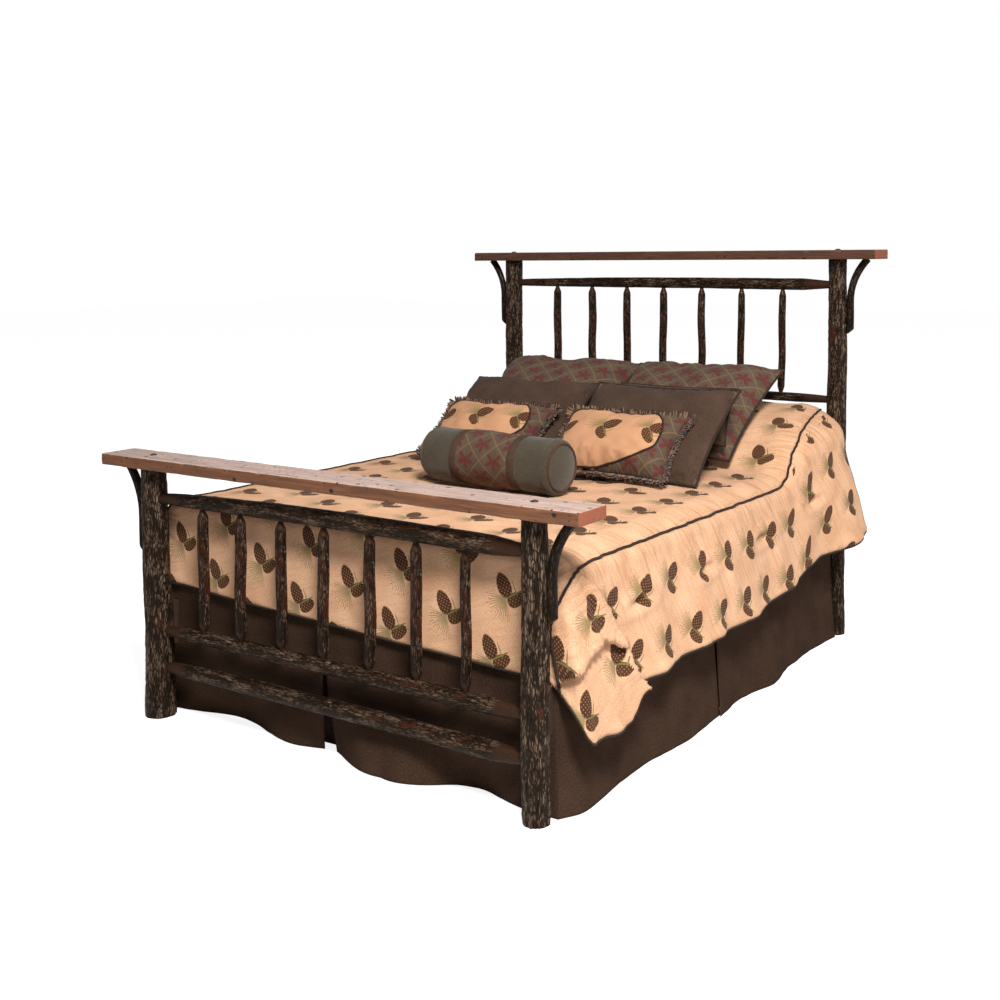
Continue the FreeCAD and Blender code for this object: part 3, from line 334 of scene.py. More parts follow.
def sealed_bark(name, deep, plain, light, lichen, red, lichen_share, red_share, coat_roughness):
    """Hickory bark under satin varnish. Fissures are near black, plates grey-brown, with pale lichen
    flecks 10 by 20 mm and reddish patches 60 by 140 mm where the bark is rubbed through."""
    skin = bpy.data.materials.new(name)
    tree = blank(skin)
    grain = field(tree, "grain", "Vector")
    height = field(tree, "bark")
    sawn = field(tree, "sawn")
    shaved = field(tree, "shaved")
    long_way = stretch(tree, grain, (1.0, 1.0, 0.23))
    fibre = noise(tree, long_way, 210.0, 4.0, roughness=0.65)
    plates = noise(tree, long_way, 70.0, 3.0, roughness=0.6, distortion=0.6)
    crack_at = vector(tree, "ADD", long_way,
                      vector(tree, "MULTIPLY", plates.outputs["Color"], (0.004, 0.004, 0.004)))
    cracks = add(tree, "ShaderNodeTexVoronoi", {"Vector": crack_at, "Scale": 150.0},
                 feature="DISTANCE_TO_EDGE").outputs["Distance"]
    cracks = span(tree, cracks, 0.01, 0.2, -0.2, 0.05)
    mixed = calc(tree, "MULTIPLY_ADD", height, 0.55, plates)
    mixed = calc(tree, "ADD", mixed, cracks)
    tone = add(tree, "ShaderNodeValToRGB", {0: mixed})
    tone.color_ramp.elements[0].position = 0.36
    tone.color_ramp.elements[0].color = linear(deep)
    tone.color_ramp.elements[1].position = 0.78
    tone.color_ramp.elements[1].color = linear(light)
    tone.color_ramp.elements.new(0.53).color = linear(plain)
    patch_at = add(tree, "ShaderNodeMapping", {0: grain, "Scale": (1.0, 1.0, 0.45), "Location": (3, 1, 2)})
    patch = noise(tree, patch_at, 16.0, 3.0, roughness=0.62, distortion=0.5)
    worn = span(tree, patch, 1.0 - red_share, 1.06 - red_share)
    worn = calc(tree, "MULTIPLY", worn, 0.85)
    rubbed = mix(tree, fibre, deep, red)
    body = mix(tree, worn, tone, rubbed)
    fleck_at = add(tree, "ShaderNodeMapping", {0: grain, "Scale": (1.0, 1.0, 0.5), "Location": (7, 5, 9)})
    fleck = noise(tree, fleck_at, 95.0, 3.0, roughness=0.7)
    cover = noise(tree, grain, 11.0, 1.0)
    both = calc(tree, "MULTIPLY_ADD", cover, 0.7, fleck)
    grown = span(tree, both, 1.07 - lichen_share, 1.17 - lichen_share)
    grown = calc(tree, "MULTIPLY", grown, 0.7)
    body = mix(tree, grown, body, lichen)
    smooth_end = mix(tree, fibre, "#1B1512", "#3E2619")
    body = mix(tree, shaved, body, smooth_end)
    across = stretch(tree, grain, (1.0, 1.0, 0.0))
    rings = vector(tree, "LENGTH", across)
    waves = calc(tree, "MULTIPLY", rings.outputs["Value"], 1900.0)
    waves = calc(tree, "SINE", waves)
    waves = span(tree, waves, -1.0, 1.0)
    end_wood = mix(tree, waves, "#6A4B33", "#8C6A49")
    body = mix(tree, sawn, body, end_wood)
    rough = span(tree, fibre, 0.3, 0.7, 0.38, 0.62)
    lift = calc(tree, "MULTIPLY_ADD", plates, 1.5, fibre)
    lift = calc(tree, "MULTIPLY_ADD", cracks, 4.0, lift)
    dull = calc(tree, "MULTIPLY_ADD", shaved, -0.8, 1.0)
    finish(tree, lift, 0.0040, dull, {
        "Base Color": body, "Roughness": rough, "Specular IOR Level": 0.2, "Coat Weight": 0.08,
        "Specular Tint": linear("#E0B890"), "Coat Tint": linear("#D8B088"),
        "Coat Roughness": coat_roughness})
    return skin


post_skin = sealed_bark("shagbark_hickory_trunk", "#1F1610", "#564538", "#7A6858", "#8C8872", "#5C2E1C",
                        0.03, 0.36, 0.4)
plank_underside = {"foot": 0.867, "head": 1.544}
end_plane = {"foot": -1.099, "head": 1.099}
post_sway = 0.005
for name, x, end, diameters, lean, seed in (
        ("foot_post_left", -0.783, "foot", (0.108, 0.097, 0.092, 0.086), post_sway, 11),
        ("foot_post_right", 0.783, "foot", (0.081, 0.083, 0.079, 0.073), -post_sway, 23),
        ("head_post_left", -0.797, "head", (0.086, 0.084, 0.082, 0.080), post_sway, 37),
        ("head_post_right", 0.800, "head", (0.084, 0.080, 0.077, 0.072), -post_sway, 41)):
    tall = plank_underside[end] - 0.0004
    z = np.linspace(0.0, tall, int(tall / 0.0055))
    shares = z / tall
    radii = 0.5 * closed_curve(diameters, (0.0, 0.36, 0.7, 1.0), shares)
    shift = np.interp(shares, (0.0, 0.36, 0.7, 1.0), (0.0, lean, -0.6 * lean, 0.0))
    centres = np.stack([x + shift, np.full(len(z), end_plane[end]), z], axis=1)
    piece = log_piece(name + "_bark", centres, radii, post_skin, 0.0050, seed, 24, 0.052, 0.035)
    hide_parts(name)

# ----------------------------------------------------------------------
# Cross rails: younger hickory poles with thinner bark. Both ends are turned down to a cone and driven
# into the posts; the cones are bare wood under a dark stain.
# ----------------------------------------------------------------------
rail_skin = sealed_bark("young_hickory_pole", "#1C130D", "#4C3B2E", "#6C5A4A", "#857C66", "#5A2F1E",
                        0.03, 0.34, 0.18)
post_face = {"foot": ((-0.783, 0.0455), (0.783, 0.0395)), "head": ((-0.797, 0.0415), (0.800, 0.0385))}
rails = {}
for name, left_z, right_z, bow, diameters, tip, seed in (
        ("foot_top_rail", 0.760, 0.766, 0.009, (0.045, 0.055, 0.057), 0.037, 5),
        ("foot_middle_rail", 0.303, 0.303, 0.002, (0.046, 0.049, 0.052), 0.033, 6),
        ("foot_bottom_rail", 0.175, 0.175, 0.003, (0.048, 0.053, 0.056), 0.035, 7),
        ("head_top_rail", 1.441, 1.441, 0.003, (0.036, 0.045, 0.049), 0.032, 8),
        ("head_middle_rail", 0.970, 0.970, 0.002, (0.038, 0.039, 0.037), 0.030, 9),
        ("head_bottom_rail", 0.330, 0.330, 0.002, (0.046, 0.049, 0.046), 0.033, 10)):
    (left, left_r), (right, right_r) = post_face[name[:4]]
    first, last = left + left_r - 0.012, right - right_r + 0.012
    x = np.linspace(first, last, 270)
    share = np.clip((x - first - 0.012) / (last - first - 0.024), 0.0, 1.0)
    centres = np.stack([x, np.full(len(x), end_plane[name[:4]]),
                        left_z + (right_z - left_z) * share + 4 * bow * share * (1 - share)], axis=1)
    body = (diameters[0], diameters[1], 0.5 * (diameters[1] + diameters[2]), diameters[2])
    sizes = (tip,) + body + (tip,)
    places = (0.0, 0.07, 0.32, 0.64, 0.93, 1.0)
    radii = 0.5 * np.interp(share, places, sizes)
    bare = np.interp(share, (0.0, 0.05, 0.075, 0.925, 0.95, 1.0), (1.0, 1.0, 0.0, 0.0, 1.0, 1.0))
    rails[name] = (x, centres[:, 2], radii)
    piece = log_piece(name + "_pole", centres, radii, rail_skin, 0.0026, seed, 14, 0.11, 0.03,
                      bare)
    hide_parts(name)

# ----------------------------------------------------------------------
# Spindles: straight hickory shoots with tight bark, cut to a pencil point at both ends and let into
# the rails. The points are bare wood under a glossy dark stain.
# ----------------------------------------------------------------------
spindle_skin = sealed_bark("hickory_shoot", "#180F0B", "#3E2E25", "#6C5A4B", "#8A8470", "#5A2C1B",
                           0.06, 0.42, 0.15)
spacing = 0.2356 * 0.781
sways = (0.6, -1.0, 0.4, -0.5, 1.0, -0.4, 0.7)
point, let_in, tenon = 0.024, 0.006, 0.0075
for end, first_seed, tops, bottoms, sizes in (
        ("foot", 60, (-2.96, -2.0, -1.01, -0.01, 1.01, 1.98, 2.96),
         (-2.99, -2.03, -1.04, -0.07, 0.96, 1.96, 2.94), (38, 39, 38, 37, 37, 36, 32)),
        ("head", 100, (-3.0, -1.98, -0.99, 0.02, 1.03, 2.05, 3.06),
         (-3.01, -1.96, -0.99, 0.0, 1.02, 2.03, 3.03), (37, 36, 35, 34, 33, 31, 30))):
    lower, upper = rails[end + "_middle_rail"], rails[end + "_top_rail"]
    for k in range(7):
        top_x, bottom_x = tops[k] * spacing, bottoms[k] * spacing
        low = np.interp(bottom_x, lower[0], lower[1] + lower[2])
        high = np.interp(top_x, upper[0], upper[1] - upper[2])
        body_low, body_high = low + point, high - point
        places = [low - let_in, low, body_low, body_low + 0.35 * (body_high - body_low),
                  body_low + 0.7 * (body_high - body_low), body_high, high, high + let_in]
        z = np.linspace(places[0], places[-1], 96)
        full = 0.0005 * sizes[k]
        radii = np.interp(z, places, [tenon, tenon, full, 0.97 * full, full, 0.94 * full, tenon, tenon])
        sway = sways[k] * 0.005
        share = np.clip((z - low) / (high - low), 0.0, 1.0)
        bend = np.interp(z, places, [0.0, 0.0, 0.0, sway, -0.4 * sway, 0.0, 0.0, 0.0])
        bend = np.convolve(np.pad(bend, 6, mode="edge"), np.full(13, 1 / 13), "valid")
        centres = np.stack([bottom_x + (top_x - bottom_x) * share + bend,
                            np.full(len(z), end_plane[end]), z], axis=1)
        bare = np.interp(z, [body_low - 0.002, body_low + 0.004, body_high - 0.004, body_high + 0.002],
                         [1.0, 0.0, 0.0, 1.0])
        name = "%s_spindle_%d" % (end, k + 1)
        piece = log_piece(name + "_stick", centres, radii, spindle_skin, 0.0016, first_seed + k, 10, 0.07,
                          0.03, bare)
        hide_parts(name)

# ----------------------------------------------------------------------
# Planks: an old barn board over each end. Its faces are weathered mauve to warm brown with checks,
# nail holes and worm holes; the ends are sawn square and stained red-brown.
# ----------------------------------------------------------------------


def barn_board(name, top, front, end_tone):
    """Old softwood board. Long wavy growth lines 6 mm apart, darker checks along them, nail holes about
    14 mm wide and many worm holes half as wide; dull, with a thin wax that shines only a little."""
    skin = bpy.data.materials.new(name)
    tree = blank(skin)
    place = add(tree, "ShaderNodeTexCoord").outputs["Object"]
    facing = add(tree, "ShaderNodeNewGeometry").outputs["Normal"]
    parts = add(tree, "ShaderNodeSeparateXYZ", {0: facing})
    bend = noise(tree, stretch(tree, place, (1.0, 5.0, 5.0)), 2.2, 2.0)
    spot = vector(tree, "ADD", stretch(tree, place, (0.9, 22.0, 22.0)), bend.outputs["Color"])
    lines = noise(tree, spot, 6.0, 5.0, roughness=0.62)
    wide = noise(tree, stretch(tree, place, (1.2, 6.0, 6.0)), 4.0, 3.0, roughness=0.6)
    level = span(tree, parts.outputs["Z"], 0.2, 0.7)
    ends = span(tree, calc(tree, "ABSOLUTE", parts.outputs["X"]), 0.6, 0.8)
    upper = mix(tree, wide, top[0], top[1])
    lower = mix(tree, wide, front[0], front[1])
    body = mix(tree, level, lower, upper)
    streak = span(tree, lines, 0.38, 0.62)
    body = add(tree, "ShaderNodeMixRGB", {0: 0.55, 1: body, 2: mix(tree, streak, "#54463C", "#B5AAA0")},
               blend_type="OVERLAY")
    check = span(tree, lines, 0.34, 0.29)
    body = mix(tree, check, body, "#2A1C16")
    nail, eaten = (span(tree, add(tree, "ShaderNodeTexVoronoi", {
        "Vector": stretch(tree, place, cells), "Scale": 1.0, "Randomness": 1.0}), edge, edge - 0.06)
                   for cells, edge in (((15.0, 19.0, 19.0), 0.15), ((45.0, 60.0, 60.0), 0.21)))
    eaten = calc(tree, "MULTIPLY", eaten, span(tree, wide, 0.47, 0.55))
    hole = calc(tree, "MAXIMUM", nail, eaten)
    body = mix(tree, hole, body, "#160E0A")
    rings = noise(tree, stretch(tree, place, (1.0, 25.0, 90.0)), 4.0, 3.0)
    cut = mix(tree, rings, end_tone, "#A85A34")
    body = mix(tree, ends, body, cut)
    rise = calc(tree, "MULTIPLY_ADD", hole, -1.5, lines)
    finish(tree, rise, 0.0016, 0.9, {"Base Color": body, "Roughness": 0.52, "IOR": 1.5,
                                     "Coat Weight": 0.12, "Coat Roughness": 0.3})
    return skin


def rounded_outline(half_x, half_y, radius, arc_points, straight_points):
    """A rectangle with rounded corners, anticlockwise. The two counts of straight points, both ends
    counted, are for the sides along x and along y."""
    arc = np.linspace(0, np.pi / 2, arc_points)
    bends = [np.stack([sx * (half_x - radius) + radius * np.cos(arc + k * np.pi / 2),
                       sy * (half_y - radius) + radius * np.sin(arc + k * np.pi / 2)], axis=1)
             for k, (sx, sy) in enumerate(((1, 1), (-1, 1), (-1, -1), (1, -1)))]
    loop = []
    for k in range(4):
        start, stop = bends[k][-1], bends[(k + 1) % 4][0]
        loop += [bends[k],
                 start + (stop - start) * np.linspace(0, 1, straight_points[k % 2])[1:-1, None]]
    return np.concatenate(loop)


for name, low_x, high_x, low_z, high_z, skin, seed in (
        ("foot_plank", -0.970, 0.970, 0.867, 0.906,
         barn_board("weathered_barn_board", ("#AE9A90", "#D6C1B6"), ("#6A4126", "#8A5A38"), "#6E3520"), 3),
        ("head_plank", -0.9785, 0.9815, 1.544, 1.582,
         barn_board("stained_barn_board", ("#5E3E2C", "#785240"), ("#442818", "#62391F"), "#5A2A16"), 4)):
    y0 = end_plane[name[:4]]
    half_y, half_z, mid_z = 0.071, 0.5 * (high_z - low_z), 0.5 * (high_z + low_z)
    profile = rounded_outline(half_y, half_z, 0.0025, 5, (22, 8))
    x = np.concatenate([[low_x, low_x + 0.0007], np.linspace(low_x + 0.0025, high_x - 0.0025, 300),
                        [high_x - 0.0007, high_x]])
    inset = np.concatenate([[0.0025, 0.0008], np.zeros(300), [0.0008, 0.0025]])
    shrink = np.stack([1 - inset / half_y, 1 - inset / half_z], axis=1)
    ring = profile[None] * shrink[:, None, :]
    edge = np.clip((np.abs(profile[:, 0]) - half_y + 0.012) / 0.012, 0, 1) * np.clip(
        (np.abs(profile[:, 1]) - half_z + 0.012) / 0.012, 0, 1)
    wear = value_noise(x[:, None] / 0.035 + 0 * profile[None, :, 0], np.sign(profile[None, :, 0]) * 9.0
                       + np.sign(profile[None, :, 1]) * 5.0 + 0 * x[:, None], seed)
    ring = ring * (1 - 0.05 * edge[None, :, None] * np.clip(wear, 0, 1)[:, :, None])
    board = np.stack([np.broadcast_to(x[:, None], ring.shape[:2]), y0 + ring[..., 0], mid_z + ring[..., 1]],
                     axis=-1)
    saw = 0.0003 * value_noise(x[:, None] / 0.02 + 0 * profile[None, :, 0],
                               profile[None, :, 0] / 0.006 + 0 * x[:, None], seed + 1)
    board[..., 2] -= np.where(profile[None, :, 1] > half_z - 0.001, np.abs(saw), 0.0)
    ends = np.array([[low_x, y0, mid_z], [high_x, y0, mid_z]])
    grid = close_in(board, ends, (0.3, 0.65))
    points = np.concatenate([grid.reshape(-1, 3), ends])
    piece = put(name + "_board", points, tube_faces(*grid.shape[:2], other_way=True), skin)
    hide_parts(name)

# ----------------------------------------------------------------------
# Plank bolts: steel bolts with low domed heads, down through each plank into a post. The heads are
# mottled at random from brown-black to a paler grey.
# ----------------------------------------------------------------------
steel = bpy.data.materials.new("blackened_steel")
tree = blank(steel)
place = add(tree, "ShaderNodeTexCoord").outputs["Object"]
body = mix(tree, noise(tree, place, 22.0, 4.0), "#2E2B29", "#5A5550")
finish(tree, noise(tree, place, 900.0, 2.0), 0.0002, 1.0,
       {"Base Color": body, "Roughness": 0.42, "Metallic": 0.9})
turn = 2 * np.pi * np.arange(28) / 28
rise = np.array([-0.080, -0.0795, -0.0005, 0.0, 0.0012, 0.0024, 0.0036, 0.0045, 0.0049])
reach = np.array([0.0035, 0.0045, 0.0045, 0.012, 0.0116, 0.0102, 0.0078, 0.0050, 0.0024])
bolt = np.stack([reach[:, None] * np.cos(turn), reach[:, None] * np.sin(turn),
                 np.broadcast_to(rise[:, None], (9, 28))], axis=-1).reshape(-1, 3)
bolt = np.concatenate([bolt, [[0, 0, -0.080], [0, 0, 0.005]]])
bolt_points, bolt_faces = [], []
for x, y, top in ((-0.783, -1.099, 0.906), (0.783, -1.099, 0.906), (-0.797, 1.099, 1.582),
                  (0.800, 1.099, 1.582)):
    bolt_faces.append(tube_faces(9, 28) + len(bolt_points) * len(bolt))
    bolt_points.append(bolt + (x, y, top))
piece = put("plank_bolts_turned", np.concatenate(bolt_points), np.concatenate(bolt_faces), steel)
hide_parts("plank_bolts")

# ----------------------------------------------------------------------
# Braces: green hickory sticks bent from the outer face of a post up to the plank's end, screwed at
# both ends. The bark is thin, tight and nearly black; the heel is pared to a slope on its outer side.
# ----------------------------------------------------------------------


def points_of(mesh):
    """The points of a mesh, one row each."""
    spots = np.empty(len(mesh.vertices) * 3, np.float32)
    mesh.vertices.foreach_get("co", spots)
    return spots.reshape(-1, 3)


brace_skin = sealed_bark("bent_hickory_stick", "#100B09", "#2C221C", "#4A3B31", "#6E6655", "#4A2618",
                         0.03, 0.30, 0.2)
radius, pared = 0.0145, 0.022
for name, side, top_x, base, drop, seed in (("foot_brace_left", -1, 0.783 + 0.131, 0.867, 0.298, 71),
                                            ("foot_brace_right", 1, 0.783 + 0.131, 0.867, 0.298, 72),
                                            ("head_brace_left", -1, 0.797 + 0.124, 1.544, 0.302, 73),
                                            ("head_brace_right", 1, 0.800 + 0.124, 1.544, 0.302, 74)):
    lo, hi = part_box(name)
    y0 = 0.5 * (lo.y + hi.y)
    inner = min(abs(lo.x), abs(hi.x))
    start_x = inner + radius
    heel, knee = base - drop, base - drop + 0.132
    over, rise = top_x - start_x, base - knee
    bend = (over ** 2 + rise ** 2) / (2 * over)
    full = np.arcsin(rise / bend)
    turn = np.linspace(0, full, 60)[1:]
    straight = np.linspace(heel, knee, 34)
    path_x = np.concatenate([np.full(34, start_x), start_x + bend * (1 - np.cos(turn))])
    path_z = np.concatenate([straight, knee + bend * np.sin(turn)])
    centres = np.stack([side * path_x, np.full(len(path_x), y0), path_z], axis=1)
    radii = np.full(len(path_x), radius) * (1 + 0.03 * np.sin(path_z * 31 + seed))
    piece = log_piece(name + "_stick", centres, radii, brace_skin, 0.0010, seed, 9, 0.06, 0.02)
    spots = points_of(piece.data)
    spots[:, 2] = np.minimum(spots[:, 2], base - 0.0003)
    out = side * spots[:, 0] - inner
    over_slope = np.clip(out - (spots[:, 2] - heel) * (2 * radius / pared) - 0.001, 0, None)
    spots[:, 0] -= side * over_slope * (spots[:, 2] < heel + pared)
    piece.data.vertices.foreach_set("co", spots.ravel())
    piece.data.update()
    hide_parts(name)

# ----------------------------------------------------------------------
# Hidden frame: sawn side rails hooked to the posts by steel plates, ledgers screwed along them, and
# five slats. They lie behind the skirt and are dark brown pine, with blackened steel.
# ----------------------------------------------------------------------
pine = bpy.data.materials.new("dark_brown_pine")
tree = blank(pine)
place = add(tree, "ShaderNodeTexCoord").outputs["Object"]
lines = noise(tree, stretch(tree, place, (14.0, 0.8, 14.0)), 8.0, 4.0, distortion=0.4)
body = mix(tree, lines, "#2A1D15", "#483427")
finish(tree, lines, 0.0006, 1.0, {"Base Color": body, "Roughness": 0.55})
for name in ("side_rail_left", "side_rail_right", "ledger_left", "ledger_right", "slats",
             "rail_hook_plates", "brace_screws"):
    for piece in bpy.data.objects:
        if piece.type == "MESH" and piece.name.split(".")[0] == name:
            piece.data.materials.clear()
            piece.data.materials.append(steel if name in ("rail_hook_plates", "brace_screws") else pine)

# ----------------------------------------------------------------------
# Mattress set: a box spring and a thick mattress in quilted ticking. The set lies on the slats; it
# gives the comforter its width and is covered by it and by the skirt.
# ----------------------------------------------------------------------


def woven(name, colours, weave, fuzz=0.0, rough=0.9, streak=(1.0, 1.0), gloss=0.15, pattern=None):
    """Cloth seen close up: tone varied by slubs along one thread direction and by broad wear, fibres as a
    fine relief, and a little sheen for the nap. Lengths are metres of cloth. A pattern, if given, takes
    the tree, the cloth's map, the colour and the relief, and gives back the last two with itself in."""
    skin = bpy.data.materials.new(name)
    tree = blank(skin)
    cloth = add(tree, "ShaderNodeUVMap", uv_map="cloth").outputs["UV"]
    drawn = stretch(tree, cloth, (streak[0] / weave, streak[1] / weave, 1.0))
    slub = noise(tree, drawn, 0.5, 3.0, roughness=0.7)
    broad = noise(tree, cloth, 9.0, 3.0)
    tone = calc(tree, "MULTIPLY_ADD", broad, 0.5, slub)
    tone = span(tree, tone, 0.5, 1.0)
    body = mix(tree, tone, colours[0], colours[1])
    height = slub
    if pattern:
        body, height = pattern(tree, cloth, body, height)
    finish(tree, height, 0.0006, 0.35, {"Base Color": body, "Roughness": rough, "Sheen Weight": fuzz,
                                        "Sheen Roughness": 0.5, "Specular IOR Level": gloss})
    return skin


def pad_block(name, low, high, edge, corner, crown, skin):
    """A padded block: a box whose sides round over at top and bottom, its top stitched in diamonds.
    Each ring is the corner-rounded outline drawn in by the edge rounding at that height."""
    quilt = 0.11
    half_x, half_y = 0.5 * (high[0] - low[0]), 0.5 * (high[1] - low[1])
    straight = [int(2 * (half - corner) / 0.04) for half in (half_x, half_y)]
    loop = rounded_outline(half_x, half_y, corner, 9, straight)
    unit = loop / np.array([half_x, half_y])
    a = np.linspace(0, np.pi / 2, 6)
    inset = np.concatenate([edge * (1 - np.cos(a[::-1])), edge * (1 - np.cos(a))])
    level = np.concatenate([low[2] + edge * (1 - np.sin(a[::-1])), high[2] - edge * (1 - np.sin(a))])
    shares = np.linspace(0.05, 0.95, 12)
    rings = [loop - np.sign(loop) * draw * np.abs(unit) ** 3 for draw in inset]
    flat = ([rings[0] * (1 - s) for s in shares[::-1]] + rings + [rings[-1] * (1 - s) for s in shares])
    tall = np.concatenate([np.full(12, low[2]), level, np.full(12, high[2])])
    tall = np.broadcast_to(tall[:, None, None], (len(flat), len(loop), 1))
    grid = np.concatenate([np.stack(flat), tall], axis=2)
    puff = 0.5 + 0.5 * np.cos(np.pi * (grid[..., 0] + grid[..., 1]) / quilt) * np.cos(
        np.pi * (grid[..., 0] - grid[..., 1]) / quilt)
    grid[..., 2] -= np.where(grid[..., 2] > high[2] - 0.2 * edge, crown * (1 - puff), 0.0)
    poles = np.array([[0, 0, low[2]], [0, 0, high[2] - crown]])
    points = np.concatenate([grid.reshape(-1, 3), poles])
    points[:, 0] += 0.5 * (low[0] + high[0])
    points[:, 1] += 0.5 * (low[1] + high[1])
    return put(name, points, tube_faces(*grid.shape[:2]), skin,
               uv=points[:, :2] + points[:, 2:3] * [0.3, 0.7])


ticking = woven("quilted_mattress_ticking", ("#D9D3C4", "#EFEADF"), 0.0012)
lining = woven("box_spring_cover", ("#8F8778", "#A89F8E"), 0.0012)
for name, edge, corner, crown, skin, slot in (
        ("box_spring", 0.012, 0.04, 0.0, lining, "box_spring_cover"),
        ("mattress", 0.04, 0.075, 0.006, ticking, "mattress_ticking")):
    lo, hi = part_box(name)
    piece = pad_block(name + "_cover", tuple(lo), tuple(hi), edge, corner, crown, skin)
    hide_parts(name)

# ----------------------------------------------------------------------
# Comforter: a quilted chenille throw over mattress and bed pillows, woven with pairs of pine cones.
# A dark cord is sewn in along both shoulders and round the hem; the foot corners hang as one flap.
# ----------------------------------------------------------------------


cell_wide, cell_tall = 0.1934, 0.187
first_cone = (-0.655, -1.150)


def smooth(t):
    """A step from 0 to 1 that eases in and out."""
    t = np.clip(t, 0.0, 1.0)
    return t * t * (3 - 2 * t)


